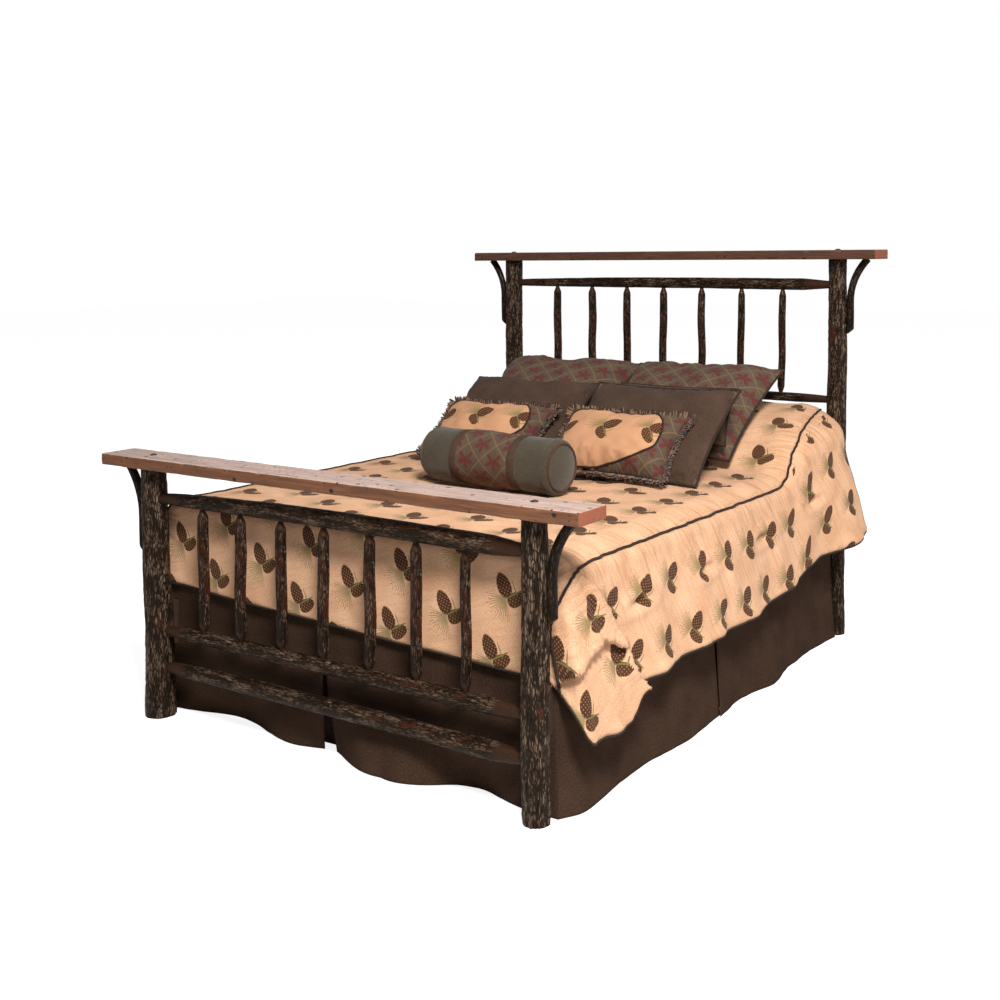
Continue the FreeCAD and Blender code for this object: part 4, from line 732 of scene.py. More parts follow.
def cone_pairs(tree, cloth, body, height):
    """Woven pairs of pine cones, one pair to a cell of 193 x 187 mm, neighbouring columns half a cell
    apart. A cone is an egg-shaped ellipse with staggered tan scales; needles are rays about one point,
    as far apart as the sine of their angle; a twig is a thin ellipse. Within a cell lengths are
    millimetres. The cloth's point values turn the motif (swing), slant it (shear), hide it (plain), and
    crease the cloth and darken the creases' valleys with painted shade (gather)."""
    rough = noise(tree, cloth, 420.0, 1.0)
    shake = vector(tree, "SUBTRACT", rough.outputs["Color"], (0.5, 0.5, 0.5))
    shake = vector(tree, "MULTIPLY", shake, (0.003, 0.003, 0.0))
    cloth = vector(tree, "ADD", cloth, shake)
    axes = add(tree, "ShaderNodeSeparateXYZ", {0: cloth})
    column = calc(tree, "ADD", axes.outputs["X"], -first_cone[0])
    column = calc(tree, "DIVIDE", column, cell_wide)
    whole = calc(tree, "ROUND", column)
    left = calc(tree, "SUBTRACT", column, whole)
    odd = calc(tree, "FLOORED_MODULO", whole, 2.0)
    odd = calc(tree, "MULTIPLY_ADD", odd, -0.5, -first_cone[1] / cell_tall)
    row = calc(tree, "MULTIPLY_ADD", axes.outputs["Y"], 1.0 / cell_tall, odd)
    whole = calc(tree, "ROUND", row)
    up = calc(tree, "MULTIPLY", calc(tree, "SUBTRACT", row, whole), 1000 * cell_tall)
    sheared = calc(tree, "MULTIPLY", field(tree, "shear"), up)
    right = calc(tree, "MULTIPLY_ADD", left, 1000 * cell_wide, sheared)
    spot = add(tree, "ShaderNodeCombineXYZ", {0: right, 1: up})
    lean = calc(tree, "MULTIPLY", field(tree, "swing"), -1.0)
    spot = add(tree, "ShaderNodeVectorRotate", {"Vector": spot, "Axis": (0.0, 0.0, 1.0), "Angle": lean})
    crease_shade_weight = field(tree, "gather")
    slanted = calc(tree, "MULTIPLY_ADD", axes.outputs["X"], -0.4, axes.outputs["Y"])
    creases = add(tree, "ShaderNodeCombineXYZ",
                  {0: calc(tree, "MULTIPLY", axes.outputs["X"], 7.0),
                   1: calc(tree, "MULTIPLY", slanted, 58.0)})
    creases = noise(tree, creases, 1.0, 2.0)
    height = calc(tree, "MULTIPLY_ADD", calc(tree, "MULTIPLY", creases, crease_shade_weight), 40.0, height)
    # Painted shade: the valleys of the creases are darkened towards a deeper tan, as strongly as the cloth
    # is creased there.
    painted_valley_shade = span(tree, creases, 0.5, 0.3, to_high=0.75)
    painted_valley_shade = calc(tree, "MULTIPLY", painted_valley_shade, crease_shade_weight)
    body = mix(tree, painted_valley_shade, body, "#AE7A55")
    shown = span(tree, field(tree, "plain"), 0.05, 0.0)
    from_joint = vector(tree, "SUBTRACT", spot, (-13.0, -14.0, 0.0))
    ray = add(tree, "ShaderNodeSeparateXYZ", {0: from_joint})
    far = vector(tree, "LENGTH", from_joint).outputs["Value"]
    angle = calc(tree, "ARCTAN2", ray.outputs["X"], ray.outputs["Y"])
    bent = noise(tree, cloth, 60.0, 2.0)
    many = calc(tree, "MULTIPLY_ADD", angle, 24.0, calc(tree, "MULTIPLY", bent, 4.0))
    many = calc(tree, "ABSOLUTE", calc(tree, "SINE", many))
    apart = calc(tree, "MULTIPLY", many, far)
    needle = span(tree, apart, 40.0, 16.0)
    tip = noise(tree, cloth, 110.0, 0.0)
    length = calc(tree, "MULTIPLY_ADD", tip, 60.0, far)
    needle = calc(tree, "MULTIPLY", needle, span(tree, length, 104.0, 88.0))
    aim = vector(tree, "NORMALIZE", from_joint)
    aim = vector(tree, "DOT_PRODUCT", aim, (-0.69, -0.72, 0.0)).outputs["Value"]
    needle = calc(tree, "MULTIPLY", needle, span(tree, aim, 0.42, 0.66))
    needle = calc(tree, "MULTIPLY", needle, calc(tree, "MULTIPLY", shown, 0.85))
    body = mix(tree, needle, body, "#7A6C44")
    for centre, half, lean, colour in (((-22.5, 21.5), (25.0, 37.0), 28.0, "#432717"),
                                       ((22.0, -10.0), (20.5, 33.5), -59.0, "#4A2C19"),
                                       ((17.0, 4.0), (35.0, 2.8), 31.0, "#6E663C"),
                                       ((15.5, 21.0), (23.0, 1.9), 117.0, "#7A724A")):
        inside = add(tree, "ShaderNodeMapping", {0: spot, "Location": (centre[0], centre[1], 0.0),
                                                 "Rotation": (0.0, 0.0, np.radians(lean)),
                                                 "Scale": (half[0], half[1], 1.0)}, vector_type="TEXTURE")
        egg = add(tree, "ShaderNodeSeparateXYZ", {0: inside})
        across = calc(tree, "MULTIPLY_ADD", egg.outputs["Y"], 0.16, 1.0)
        across = calc(tree, "MULTIPLY", egg.outputs["X"], across)
        inside = add(tree, "ShaderNodeCombineXYZ", {0: across, 1: egg.outputs["Y"]})
        size = vector(tree, "LENGTH", inside).outputs["Value"]
        ink = colour
        if half[0] > 5 and half[1] > 5:
            scale_x = calc(tree, "MULTIPLY", across, 2 * np.pi * half[0] / 13.0)
            scale_y = calc(tree, "MULTIPLY", egg.outputs["Y"], 2 * np.pi * half[1] / 13.0)
            dots = calc(tree, "MULTIPLY", calc(tree, "COSINE", scale_x), calc(tree, "COSINE", scale_y))
            size = calc(tree, "MULTIPLY_ADD", dots, -0.035, size)
            dots = span(tree, dots, 0.35, 0.75)
            ink = mix(tree, dots, ink, "#8C6647")
        within = span(tree, size, 1.03, 0.96)
        within = calc(tree, "MULTIPLY", within, shown)
        body = mix(tree, within, body, ink)
        height = calc(tree, "MULTIPLY_ADD", within, 0.5, height)
    return body, height


def cord(name, path, radius, skin, closed=True):
    """Welt cord: a round tube along a path, its rings square to the way the path runs."""
    sides = 8
    if closed:
        ahead = np.roll(path, -1, axis=0) - np.roll(path, 1, axis=0)
    else:
        ahead = np.gradient(path, axis=0)
    ahead /= np.linalg.norm(ahead, axis=1)[:, None] + 1e-9
    side = np.cross(ahead, [0.31, 0.17, 0.93])
    side /= np.linalg.norm(side, axis=1)[:, None] + 1e-9
    out = np.cross(side, ahead)
    turn = 2 * np.pi * np.arange(sides) / sides
    ring = (path[:, None] + radius * (np.cos(turn)[None, :, None] * out[:, None]
                                      + np.sin(turn)[None, :, None] * side[:, None]))
    rows = len(path)
    points = ring.reshape(-1, 3)
    if closed:
        faces = grid_faces(rows + 1, sides, around=True) % (rows * sides)
    else:
        points = np.concatenate([points, path[:1], path[-1:]])
        faces = tube_faces(rows, sides)
    lengths = np.concatenate([[0], np.cumsum(np.linalg.norm(np.diff(path, axis=0), axis=1))])
    uv = np.stack([np.repeat(lengths, sides), np.tile(turn * radius, rows)], axis=1)
    if not closed:
        uv = np.concatenate([uv, [[0, 0], [lengths[-1], 0]]])
    piece = put(name, points, faces, skin, uv=uv)
    return piece


stations = np.array(((-0.93, 0.0, 0.0, 1.22, 1.06, 0.99, 0.86), (-0.86, 0.0, 0.0, 1.24, 1.10, 1.02, 0.94),
                     (-0.77, 0.0, 0.0, 1.18, 1.02, 0.98, 0.84), (-0.69, 0.0, 0.0, 1.05, 0.94, 1.00, 0.92),
                     (-0.56, 0.0, 0.0, 1.02, 1.06, 1.01, 0.83), (-0.42, 0.0, 0.0, 1.01, 0.90, 0.98, 0.92),
                     (-0.24, 0.0, 0.0, 1.00, 1.04, 1.00, 0.84), (-0.08, 0.0, 0.0, 0.99, 0.91, 1.01, 0.93),
                     (0.08, 0.0, 0.0, 0.99, 1.03, 0.99, 0.85), (0.24, 0.0, 0.0, 0.96, 0.92, 1.00, 0.94),
                     (0.41, 0.0, 0.0, 0.92, 1.02, 0.98, 0.86), (0.50, 0.07, 0.05, 0.87, 0.94, 0.98, 0.93),
                     (0.58, 0.33, 0.25, 0.82, 0.97, 0.97, 0.88), (0.68, 0.64, 0.5, 0.79, 0.98, 0.97, 0.93),
                     (0.79, 0.84, 0.75, 0.78, 1.10, 0.96, 0.90), (0.91, 0.96, 0.95, 0.74, 1.34, 0.94, 0.97),
                     (1.0, 1.0, 1.0, 0.68, 1.30, 0.92, 0.95)))
station_y = stations[:, 0] * np.where(stations[:, 0] > 0, 1.050, 1.016)
base_top, foot_edge, head_edge = 0.745, -0.992, 1.050
across_n, depth_n, over_n, turn_n = 94, 54, 14, 24
y = np.concatenate([np.linspace(foot_edge, -0.56, 64), np.linspace(-0.56, head_edge, 118)[1:]])
rows_n = len(y)
hump, shoulder, right_drop, right_flare, left_drop, left_flare = (
    closed_curve(stations[:, k], station_y, np.clip(y, station_y[0], station_y[-1])) for k in range(1, 7))
top_z = base_top + 0.210 * np.clip(hump, 0, 1)
knee_half, knee_fall, foot_knee = 0.838, 0.092, 0.045
start_x = 0.722 - 0.072 * shoulder
knee_x = knee_half + 0.022 * shoulder
knee_drop = knee_fall + 0.062 * shoulder
t = np.linspace(-1, 1, across_n)
deck_x = t[None, :] * start_x[:, None]
deck = np.stack([deck_x, np.broadcast_to(y[:, None], deck_x.shape),
                 np.broadcast_to(top_z[:, None], deck_x.shape)], axis=-1)



def around(*parts):
    """One value for each column of cloth that hangs round the bed: those of the left side head to foot,
    the left corner, the foot, the right corner, and the right side foot to head."""
    counts = (rows_n, turn_n, across_n, turn_n, rows_n)
    return np.concatenate([np.broadcast_to(part, count) for part, count in zip(parts, counts)])


turn = np.linspace(0, np.pi / 2, turn_n + 2)[1:-1]
edge_index = around(np.arange(rows_n)[::-1] * across_n, 0, np.arange(across_n), across_n - 1,
                    np.arange(rows_n) * across_n + across_n - 1)
columns_n = len(edge_index)
column = np.arange(columns_n)[:, None]
is_left = column < rows_n
is_foot = (column >= rows_n + turn_n) & (column < rows_n + turn_n + across_n)
is_right = column >= columns_n - rows_n
edge_at = deck.reshape(-1, 3)[edge_index]
foot_x = deck[0, :, 0]
aim_side = around(-1.0, -np.cos(turn), 0.0, np.sin(turn), 1.0)
aim_foot = around(0.0, np.sin(turn), 1.0, np.cos(turn), 0.0)
foot_hem = np.interp(foot_x, (-0.722, -0.5, -0.1, 0.25, 0.48, 0.722),
                     (0.453, 0.441, 0.424, 0.408, 0.401, 0.392))
right_corner = np.interp(turn, (0.0, 0.35, 0.7, 1.0, 1.3, 1.5708),
                         (0.378, 0.330, 0.285, 0.250, 0.233, 0.226))
left_corner = np.interp(turn, (0.0, 1.5708), (0.448, 0.453))
hem_z = around((base_top - 0.300 * left_drop)[::-1], left_corner, foot_hem, right_corner,
               base_top - 0.425 * right_drop)
reach_right, reach_left = 0.762 + 0.140 * right_flare, 0.762 + 0.140 * left_flare
side_hem = around(reach_left[::-1], reach_left[0], 0.0, reach_right[0] + 0.006, reach_right)
side_knee = around(knee_x[::-1], knee_half, 0.0, knee_half, knee_x)
side_drop = around(knee_drop[::-1], knee_fall, foot_knee, knee_fall, knee_drop)
drop_knee = foot_knee + (side_drop - foot_knee) * smooth(np.abs(aim_side))
lift = around(top_z[::-1], base_top, base_top, base_top, top_z)
over = np.linspace(0, 1, over_n + 1)[1:] * np.pi / 2
wall = np.linspace(0, 1, depth_n - over_n + 1)[1:]
bow_x = np.concatenate([np.sin(over), np.ones(len(wall))])
bow_z = np.concatenate([1 - np.cos(over), np.ones(len(wall))])
fall = np.concatenate([np.zeros(over_n), wall])
swell = np.concatenate([np.zeros(over_n), np.sin(np.pi * wall)])
square = 2.0 + 3.2 * np.concatenate([np.linspace(0, 0.5, over_n), np.linspace(0.5, 1, len(wall))])
push_side = np.sign(aim_side)[:, None] * np.abs(aim_side)[:, None] ** (2.0 / square[None, :])
push_foot = np.abs(aim_foot)[:, None] ** (2.0 / square[None, :])
side_base = np.abs(edge_at[:, 0])
reach_side = ((side_knee - side_base)[:, None] * bow_x + (side_hem - side_knee)[:, None] * fall ** 1.25
              + 0.010 * swell)
reach_foot = foot_knee * bow_x + 0.004 * fall + 0.003 * swell
skirt_x = edge_at[:, :1] + push_side * reach_side
skirt_y = edge_at[:, 1:2] - push_foot * reach_foot
skirt_z = lift[:, None] - drop_knee[:, None] * bow_z - (lift - drop_knee - hem_z)[:, None] * fall

# The cloth's own measures: depth runs down each column, girth along the hem, arc round each level.
spots = np.stack([skirt_x, skirt_y, skirt_z], axis=-1)
steps = np.linalg.norm(np.diff(np.concatenate([edge_at[:, None, :], spots], axis=1), axis=1), axis=-1)
depth = np.cumsum(steps, axis=1)
total = depth[:, -1:]
girth = np.concatenate([[0], np.cumsum(np.linalg.norm(np.diff(spots[:, -1], axis=0), axis=1))])
girth = np.broadcast_to(girth[:, None], depth.shape)
arc = np.cumsum(np.linalg.norm(np.diff(spots[..., :2], axis=0, prepend=spots[:1, :, :2]), axis=-1), axis=0)
arc -= arc[rows_n + turn_n + across_n]

# Corner flap on the right: the foot's cloth wraps round and lies over the side's along one crease.
crease_z = np.array([0.700, 0.642, 0.610, 0.566, 0.523, 0.476, 0.446, 0.396, 0.351, 0.312, 0.22])
crease_y = np.array([-0.962, -0.912, -0.890, -0.858, -0.834, -0.800, -0.792, -0.776, -0.748, -0.711, -0.64])
gap = skirt_y - np.interp(-skirt_z, -crease_z, crease_y)
corner_right = (column >= columns_n - rows_n - turn_n) & (skirt_x > 0)
flap_top = 0.70
low_enough = smooth((flap_top - skirt_z) / 0.07)
over_crease = smooth(-gap / 0.010 + 0.5)
flap = corner_right * low_enough * over_crease
lip = flap * np.exp(-np.clip(-gap, 0, None) / 0.035)
tuck = corner_right * low_enough * (1 - over_crease) * np.exp(-np.clip(gap, 0, None) / 0.030)

# The fold like a hook on the flap: cloth above it hangs over the cloth below.
hook_z = np.interp(arc, (0.0, 0.044, 0.096, 0.125, 0.163, 0.209, 0.234, 0.278, 0.345),
                   (0.392, 0.413, 0.437, 0.452, 0.470, 0.490, 0.501, 0.484, 0.446))
below = hook_z - skirt_z
in_corner = corner_right * smooth((0.350 - arc) / 0.03) * smooth((0.01 - gap) / 0.02)
step_in = in_corner * smooth(below / 0.010 + 0.3) * np.exp(-np.clip(below, 0, None) / 0.10)
hang_over = in_corner * np.exp(-(np.clip(-below, 0, None) / 0.022) ** 2) * (below < 0.003)

# Soft folds, puckers beside the cord, and the pinches where the quilting is tied.
slant = skirt_y - 0.40 * depth
cord_depths = {"right": 0.112, "left": 0.010}
side_cord = np.where(is_left, cord_depths["left"], cord_depths["right"]) + 0 * depth
from_cord = np.where(is_foot, 0.2, depth - side_cord)
near_cord = np.exp(-(np.abs(from_cord) / 0.11) ** 1.4)
soft = (0.010 * value_noise(girth / 0.19 + 0.3 * value_noise(depth / 0.2, girth * 0, 2), depth / 0.33, 8)
        * smooth((depth - 0.10) / 0.2) + 0.0040 * value_noise(girth / 0.07, depth / 0.16, 9)
        * smooth((depth - 0.06) / 0.1))
pucker = np.where(is_foot, 0, (0.0052 * value_noise(slant / 0.030, depth / 0.30, 10)
                               + 0.0024 * value_noise(slant / 0.016, depth / 0.22, 15))
                  * (near_cord + 0.40 * smooth(from_cord / 0.05)) * smooth(from_cord / 0.012 + 1.2))
seam_dip = np.where(is_foot, 0, -0.0050 * np.exp(-(from_cord / 0.009) ** 2))
pinch = np.zeros_like(depth)
for tie_y, tie_z in ((-0.640, 0.533), (-0.205, 0.545), (0.250, 0.560), (0.700, 0.62)):
    along_tie, down_tie = skirt_y - tie_y, skirt_z - tie_z - 0.10 * (skirt_y - tie_y)
    away = np.hypot(along_tie / 3.4, down_tie)
    pinch += np.where(is_left | is_right, -0.016 * np.exp(-(away / 0.011) ** 2)
                      + 0.007 * np.exp(-((away - 0.030) / 0.016) ** 2), 0.0)
from_hem = total - depth
hem_roll = 0.0065 * np.exp(-(from_hem / 0.030) ** 2) - 0.006 * np.exp(-(from_hem / 0.006) ** 2)
out = (soft + 1.3 * pucker + seam_dip + pinch + hem_roll + 0.010 * flap + 0.026 * lip - 0.020 * tuck
       - 0.026 * step_in + 0.016 * hang_over)
out = np.where(is_foot | ~(is_left | is_right | corner_right), 0.6 * out, out)
spots[..., 0] += push_side * out
spots[..., 1] -= push_foot * out
spots[..., 1] += 0.016 * flap * np.exp(-np.clip(-gap, 0, None) / 0.014) - 0.011 * tuck
spots[..., 2] -= 0.024 * hang_over - 0.008 * step_in
spots[..., 1] = np.where(skirt_y < -1.02, np.clip(spots[..., 1], -1.052, None), spots[..., 1])
deck_y = deck[..., 1]
rumple = (0.0065 * value_noise(deck_x / 0.16, deck_y / 0.30, 12)
          + 0.0030 * value_noise(deck_x / 0.05 + 2, deck_y / 0.12, 13)
          + 0.0050 * value_noise((deck_x + 0.5 * deck_y) / 0.09, (deck_y - 0.5 * deck_x) / 0.30, 14)
          * smooth((deck_y - 0.20) / 0.25))
rim = np.minimum(1.0, (1 - np.abs(t))[None, :] * 8) * np.minimum(1.0, (y - foot_edge)[:, None] / 0.1)
deck[..., 2] += rumple * rim - 0.004

# Where the pattern lies: the middle cloth runs down over the foot, each side is cut on its own beyond the
# cord, and the flap shows the foot's cloth. Motifs at the flap are set one by one; plain hides each jump.
foot_slant, row_climb = 0.27, 0.0275
u = np.where(is_foot, edge_at[:, :1] + foot_slant * depth * is_foot,
             np.sign(aim_side)[:, None] * (side_base[:, None] + depth))
v = np.where(is_foot, foot_edge - depth, edge_at[:, 1:2] + 0 * depth)
v = v + row_climb * (u + 0.675) + np.where(is_foot, 0.015 + 0.037 * (u + 0.30), 0.0)
swing, shear = 0 * depth, foot_slant * is_foot + 0 * depth
part_id = np.zeros(depth.shape, int)
beyond = (is_left | is_right) & (depth > side_cord)
part_id[beyond] = 1
turned = ~(is_left | is_right | is_foot) | (corner_right & (gap < 0.0) & (skirt_z < flap_top))
part_id[turned] = 2
side_u = 0.8922 + (side_base[:, None] + depth - 0.985) * (cell_wide / 0.178)
side_v = first_cone[1] + (edge_at[:, 1:2] + 0.796) / 0.1843 * cell_tall
u = np.where(beyond, np.where(is_left, -1, 1) * side_u, u)
v = np.where(beyond, side_v, v)
swing = np.where(beyond, np.where(is_left, -0.22, 0.22), swing)
motifs = ((0.134, 0.304, -0.62), (0.322, 0.400, -0.60), (0.192, 0.555, -0.46), (0.051, 0.460, -0.62))
best = np.full(depth.shape, 9.0)
for k, (round_at, tall_at, lean) in enumerate(motifs):
    i, j = np.unravel_index(np.argmin(np.hypot(arc - round_at, skirt_z - tall_at) + 9.0 * ~corner_right),
                            arc.shape)
    off_u, off_v = arc - arc[i, j], skirt_z - skirt_z[i, j]
    away = np.hypot(off_u, off_v)
    near = turned & corner_right & (away < best)
    best = np.where(near, away, best)
    part_id[near] = 3 + k
    u = np.where(near, first_cone[0] + 2 * cell_wide * k + off_u, u)
    v = np.where(near, first_cone[1] + off_v, v)
    swing = np.where(near, lean, swing)
part_id[turned & (best > 0.094)] = 9
left_turn = ~(is_left | is_right | is_foot) & (column < columns_n // 2)
left_front = left_turn & (np.abs(aim_side)[:, None] < 0.80)
part_id = np.where(left_front, 0, part_id)
left_foot = rows_n + turn_n
left_x = edge_at[left_foot, 0]
u = np.where(left_turn, left_x + foot_slant * depth + arc - arc[left_foot], u)
v = np.where(left_turn, foot_edge - depth + row_climb * (u + 0.675) + 0.015 + 0.037 * (left_x + 0.30), v)
shear = np.where(left_turn, foot_slant, shear)
framed = np.concatenate([np.where(is_left | is_right | is_foot | left_front, 0, 2), part_id], axis=1)
plain = np.isin(framed, (2, 9)).astype(float)
edged = np.pad(framed, 1, mode="edge")
for i in range(3):
    for j in range(3):
        plain = np.maximum(plain, edged[i:i + framed.shape[0], j:j + framed.shape[1]] != framed)
deck_plain = np.zeros(rows_n * across_n)
np.maximum.at(deck_plain, edge_index, plain[:, 0])
# Crease strength, which also sets the painted shade in the crease valleys: strongest beside the cord on the
# sides and near the shoulders on the deck, light on the foot.
gather = np.where(is_foot, 0.25, 0.35 + 0.65 * near_cord)
deck_gather = 0.25 + 0.6 * np.exp(-(start_x[:, None] - np.abs(deck_x)) / 0.06)

full_index = np.concatenate([edge_index[:, None], rows_n * across_n
                             + np.arange(columns_n * depth_n).reshape(columns_n, depth_n)], axis=1)
a, b = full_index[:-1, :-1].ravel(), full_index[1:, :-1].ravel()
c, d = full_index[1:, 1:].ravel(), full_index[:-1, 1:].ravel()
points = np.concatenate([deck.reshape(-1, 3), spots.reshape(-1, 3)])
along = np.broadcast_to(y[:, None], deck_x.shape) + row_climb * (deck_x + 0.675)
uv = np.concatenate([np.stack(pair, axis=-1).reshape(-1, 2) for pair in ((deck_x, along), (u, v))])
faces = np.concatenate([grid_faces(rows_n, across_n), np.stack([d, c, b, a], axis=1)])
chenille = woven("peach_chenille", ("#BC8863", "#E6BA96"), 0.0024, fuzz=0.05, pattern=cone_pairs)
cover = put("comforter_cloth", points, faces, chenille, uv=uv,
            plain=np.concatenate([deck_plain, plain[:, 1:].ravel()]),
            gather=np.concatenate([deck_gather.ravel(), gather.ravel()]),
            swing=np.concatenate([np.zeros(rows_n * across_n), swing.ravel()]),
            shear=np.concatenate([np.zeros(rows_n * across_n), shear.ravel()]))
loft = cover.modifiers.new("loft", "SOLIDIFY")
loft.thickness = 0.009
loft.offset = -1.0

# The cords: one along each shoulder and down the foot's corner, one round the whole hem.
welt = woven("dark_brown_welt_cord", ("#241A14", "#3B2D24"), 0.0012, streak=(1.0, 3.0), fuzz=0.05)
pushes = np.stack([push_side, -push_foot, np.zeros_like(push_side)], axis=-1)


def on_cover(columns, depths, lifted):
    """Points on the hanging part of the cover at given columns and depths, lifted off it."""
    i = np.clip(columns.astype(int), 0, columns_n - 2)
    f = columns - i
    nearest = np.round(columns).astype(int)
    row = np.array([np.interp(deep, depth[k], np.arange(depth_n)) for k, deep in zip(nearest, depths)])
    j = np.clip(row.astype(int), 0, depth_n - 2)
    g = row - j
    net = spots + lifted * pushes
    return ((net[i, j] * (1 - f)[:, None] + net[i + 1, j] * f[:, None]) * (1 - g)[:, None]
            + (net[i, j + 1] * (1 - f)[:, None] + net[i + 1, j + 1] * f[:, None]) * g[:, None])


turn_depth = 0.262
for side_name, first, last, corner in (
        ("right", columns_n - 1, columns_n - rows_n + 24, columns_n - rows_n - turn_n + 2),
        ("left", 0, rows_n - 25, rows_n + turn_n - 3)):
    cord_depth = cord_depths[side_name]
    run = np.linspace(first, last, 230)
    bend = np.linspace(0, 1, 50)[1:]
    bend_column = last + (corner - last) * np.sin(bend * np.pi / 2)
    bend_depth = cord_depth + (turn_depth - cord_depth) * (1 - np.cos(bend * np.pi / 2))
    down = np.linspace(0, 1, 30)[1:]
    low = total[corner, 0] - 0.004
    path = on_cover(np.concatenate([run, bend_column, np.full(29, float(corner))]),
                    np.concatenate([np.full(230, cord_depth), bend_depth,
                                    turn_depth + (low - turn_depth) * down]), 0.0030)
    cord(f"comforter_{side_name}_shoulder_cord", path, 0.0046, welt,
                      closed=False)
hem_path = spots[:, -1] + [0, 0, -0.002] - 0.002 * pushes[:, -1]
cord("comforter_hem_cord", hem_path, 0.0042, welt, closed=False)
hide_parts("comforter")

# ----------------------------------------------------------------------
# Bed skirt: dark brown imitation suede hung from a deck cloth under the mattress, split at the foot's
# left third and at the middle of each side, with a backing strip behind each split.
# ----------------------------------------------------------------------
suede = woven("dark_brown_suede", ("#2B1E17", "#49362A"), 0.0030, rough=0.92, gloss=0.04)
deck_cloth = woven("skirt_deck_cotton", ("#BFB6A6", "#D6CFC1"), 0.0010)


def thicken(piece, thickness):
    """Give a cloth its thickness, inwards from its outer face."""
    body = piece.modifiers.new("cloth", "SOLIDIFY")
    body.thickness = thickness
    body.offset = -1.0


def hang(name, along, away, tall, facing, thickness):
    """Suede that hangs so far away from the bed's middle: at the foot (0), the left (-1), the right (1).
    Gives the piece and its points."""
    spots = np.stack([along, -away, tall] if facing == 0 else [facing * away, along, tall], axis=-1)
    faces = grid_faces(*along.shape)
    piece = put(name, spots, faces[:, ::-1] if facing < 0 else faces, suede,
                uv=np.stack([along, tall], axis=-1))
    thicken(piece, thickness)
    return piece, spots


def hung_panel(name, levels, folds, flare, facing):
    """A panel hung from its top edge. Along the hem it swings out and in through the listed folds; the
    swing fades upwards, and the places of the folds drift from top to hem. A level says its height, its
    reach from the bed's middle, half its width, how far the folds have drifted and how far they swing.
    A fold says its place at the top and at the hem, its swing and the bulge up to the next."""
    z = np.linspace(levels[0][0], levels[-1][0], 62)
    heights = [row[0] for row in levels][::-1]
    reach, half, opened, open_depth = (np.interp(z, heights, [row[k] for row in levels][::-1])
                                       for k in range(1, 5))
    count = int((folds[-1][1] - folds[0][1]) * levels[-1][2] / 0.0085)
    s = np.linspace(0, len(folds) - 1, count)
    knots = np.arange(len(folds))
    top_at = closed_curve([row[0] for row in folds], knots, s)
    hem_at = closed_curve([row[1] for row in folds], knots, s)
    swing = closed_curve([row[2] for row in folds], knots, s)
    bulge = np.array([row[3] for row in folds])[np.minimum(s.astype(int), len(folds) - 2)]
    swing = swing + bulge * np.sin(np.pi * (s - np.floor(s)))
    place = half[:, None] * (top_at + (hem_at - top_at) * opened[:, None])
    away = reach[:, None] + open_depth[:, None] * swing * flare
    low = smooth((0.46 - z) / 0.4)[:, None]
    seed = 20 + len(name)
    away = away + 0.0040 * low * value_noise(place / 0.11, z[:, None] / 0.5 + 0 * place, seed)
    away = away + 0.0012 * low * value_noise(place / 0.035, z[:, None] / 0.16 + 0 * place, seed + 1)
    tall = np.broadcast_to(z[:, None], place.shape)
    piece, spots = hang(name, place, away, tall, facing, 0.0016)
    girth = np.linalg.norm(np.diff(spots, axis=1), axis=-1).sum(axis=1).max()
    drop = np.linalg.norm(np.diff(spots, axis=0), axis=-1).sum(axis=0).max()
    return piece, (girth, drop)


foot_levels = ((0.4826, 1.0198, 0.764, 0.0, 0.015), (0.388, 1.0198, 0.800, 0.1, 0.015),
               (0.233, 1.0290, 0.806, 0.4, 0.14), (0.003, 1.0100, 0.812, 1.0, 1.0))
side_levels = ((0.4826, 0.7658, 1.020, 0.0, 0.015), (0.388, 0.8027, 1.022, 0.1, 0.015),
               (0.233, 0.8065, 1.038, 0.4, 0.14), (0.003, 0.8250, 1.054, 1.0, 1.0))
foot_left_folds = ((-1.04, -1.02, 0.30, 0.12), (-0.72, -0.68, -0.35, -0.06), (-0.36, -0.33, 0.31, 0.11),
                   (-0.100, -0.100, 0.15, 0.0))
foot_right_folds = ((-0.105, -0.040, 0.13, 0.14), (0.24, 0.27, 0.92, 0.24), (0.54, 0.55, 0.1, -0.1),
                    (0.75, 0.75, 0.13, 0.12), (1.004, 1.015, 0.40, 0.0))
near_foot_folds = ((-1.0, -1.0, 0.0, 0.3), (-0.82, -0.85, 0.8, -0.25), (-0.48, -0.46, 0.35, 0.2),
                   (-0.24, -0.22, 0.62, -0.1), (-0.035, -0.047, 0.2, 0.0))
near_head_folds = ((0.0, -0.062, 0.42, -0.2), (0.2, 0.2, 0.22, 0.25), (0.4, 0.4, 0.72, -0.2),
                   (0.6, 0.6, -0.1, -0.3), (1.0, 0.98, 0.1, 0.0))
for name, levels, folds, flare, facing in (
        ("skirt_foot_left", foot_levels, foot_left_folds, 0.100, 0),
        ("skirt_foot_right", foot_levels, foot_right_folds, 0.100, 0),
        ("skirt_right_near_foot", side_levels, near_foot_folds, 0.040, 1),
        ("skirt_right_near_head", side_levels, near_head_folds, 0.040, 1),
        ("skirt_left_near_foot", side_levels, near_foot_folds, 0.040, -1),
        ("skirt_left_near_head", side_levels, near_head_folds, 0.040, -1)):
    piece, size = hung_panel(name + "_panel", levels, folds, flare, facing)
    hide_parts(name)

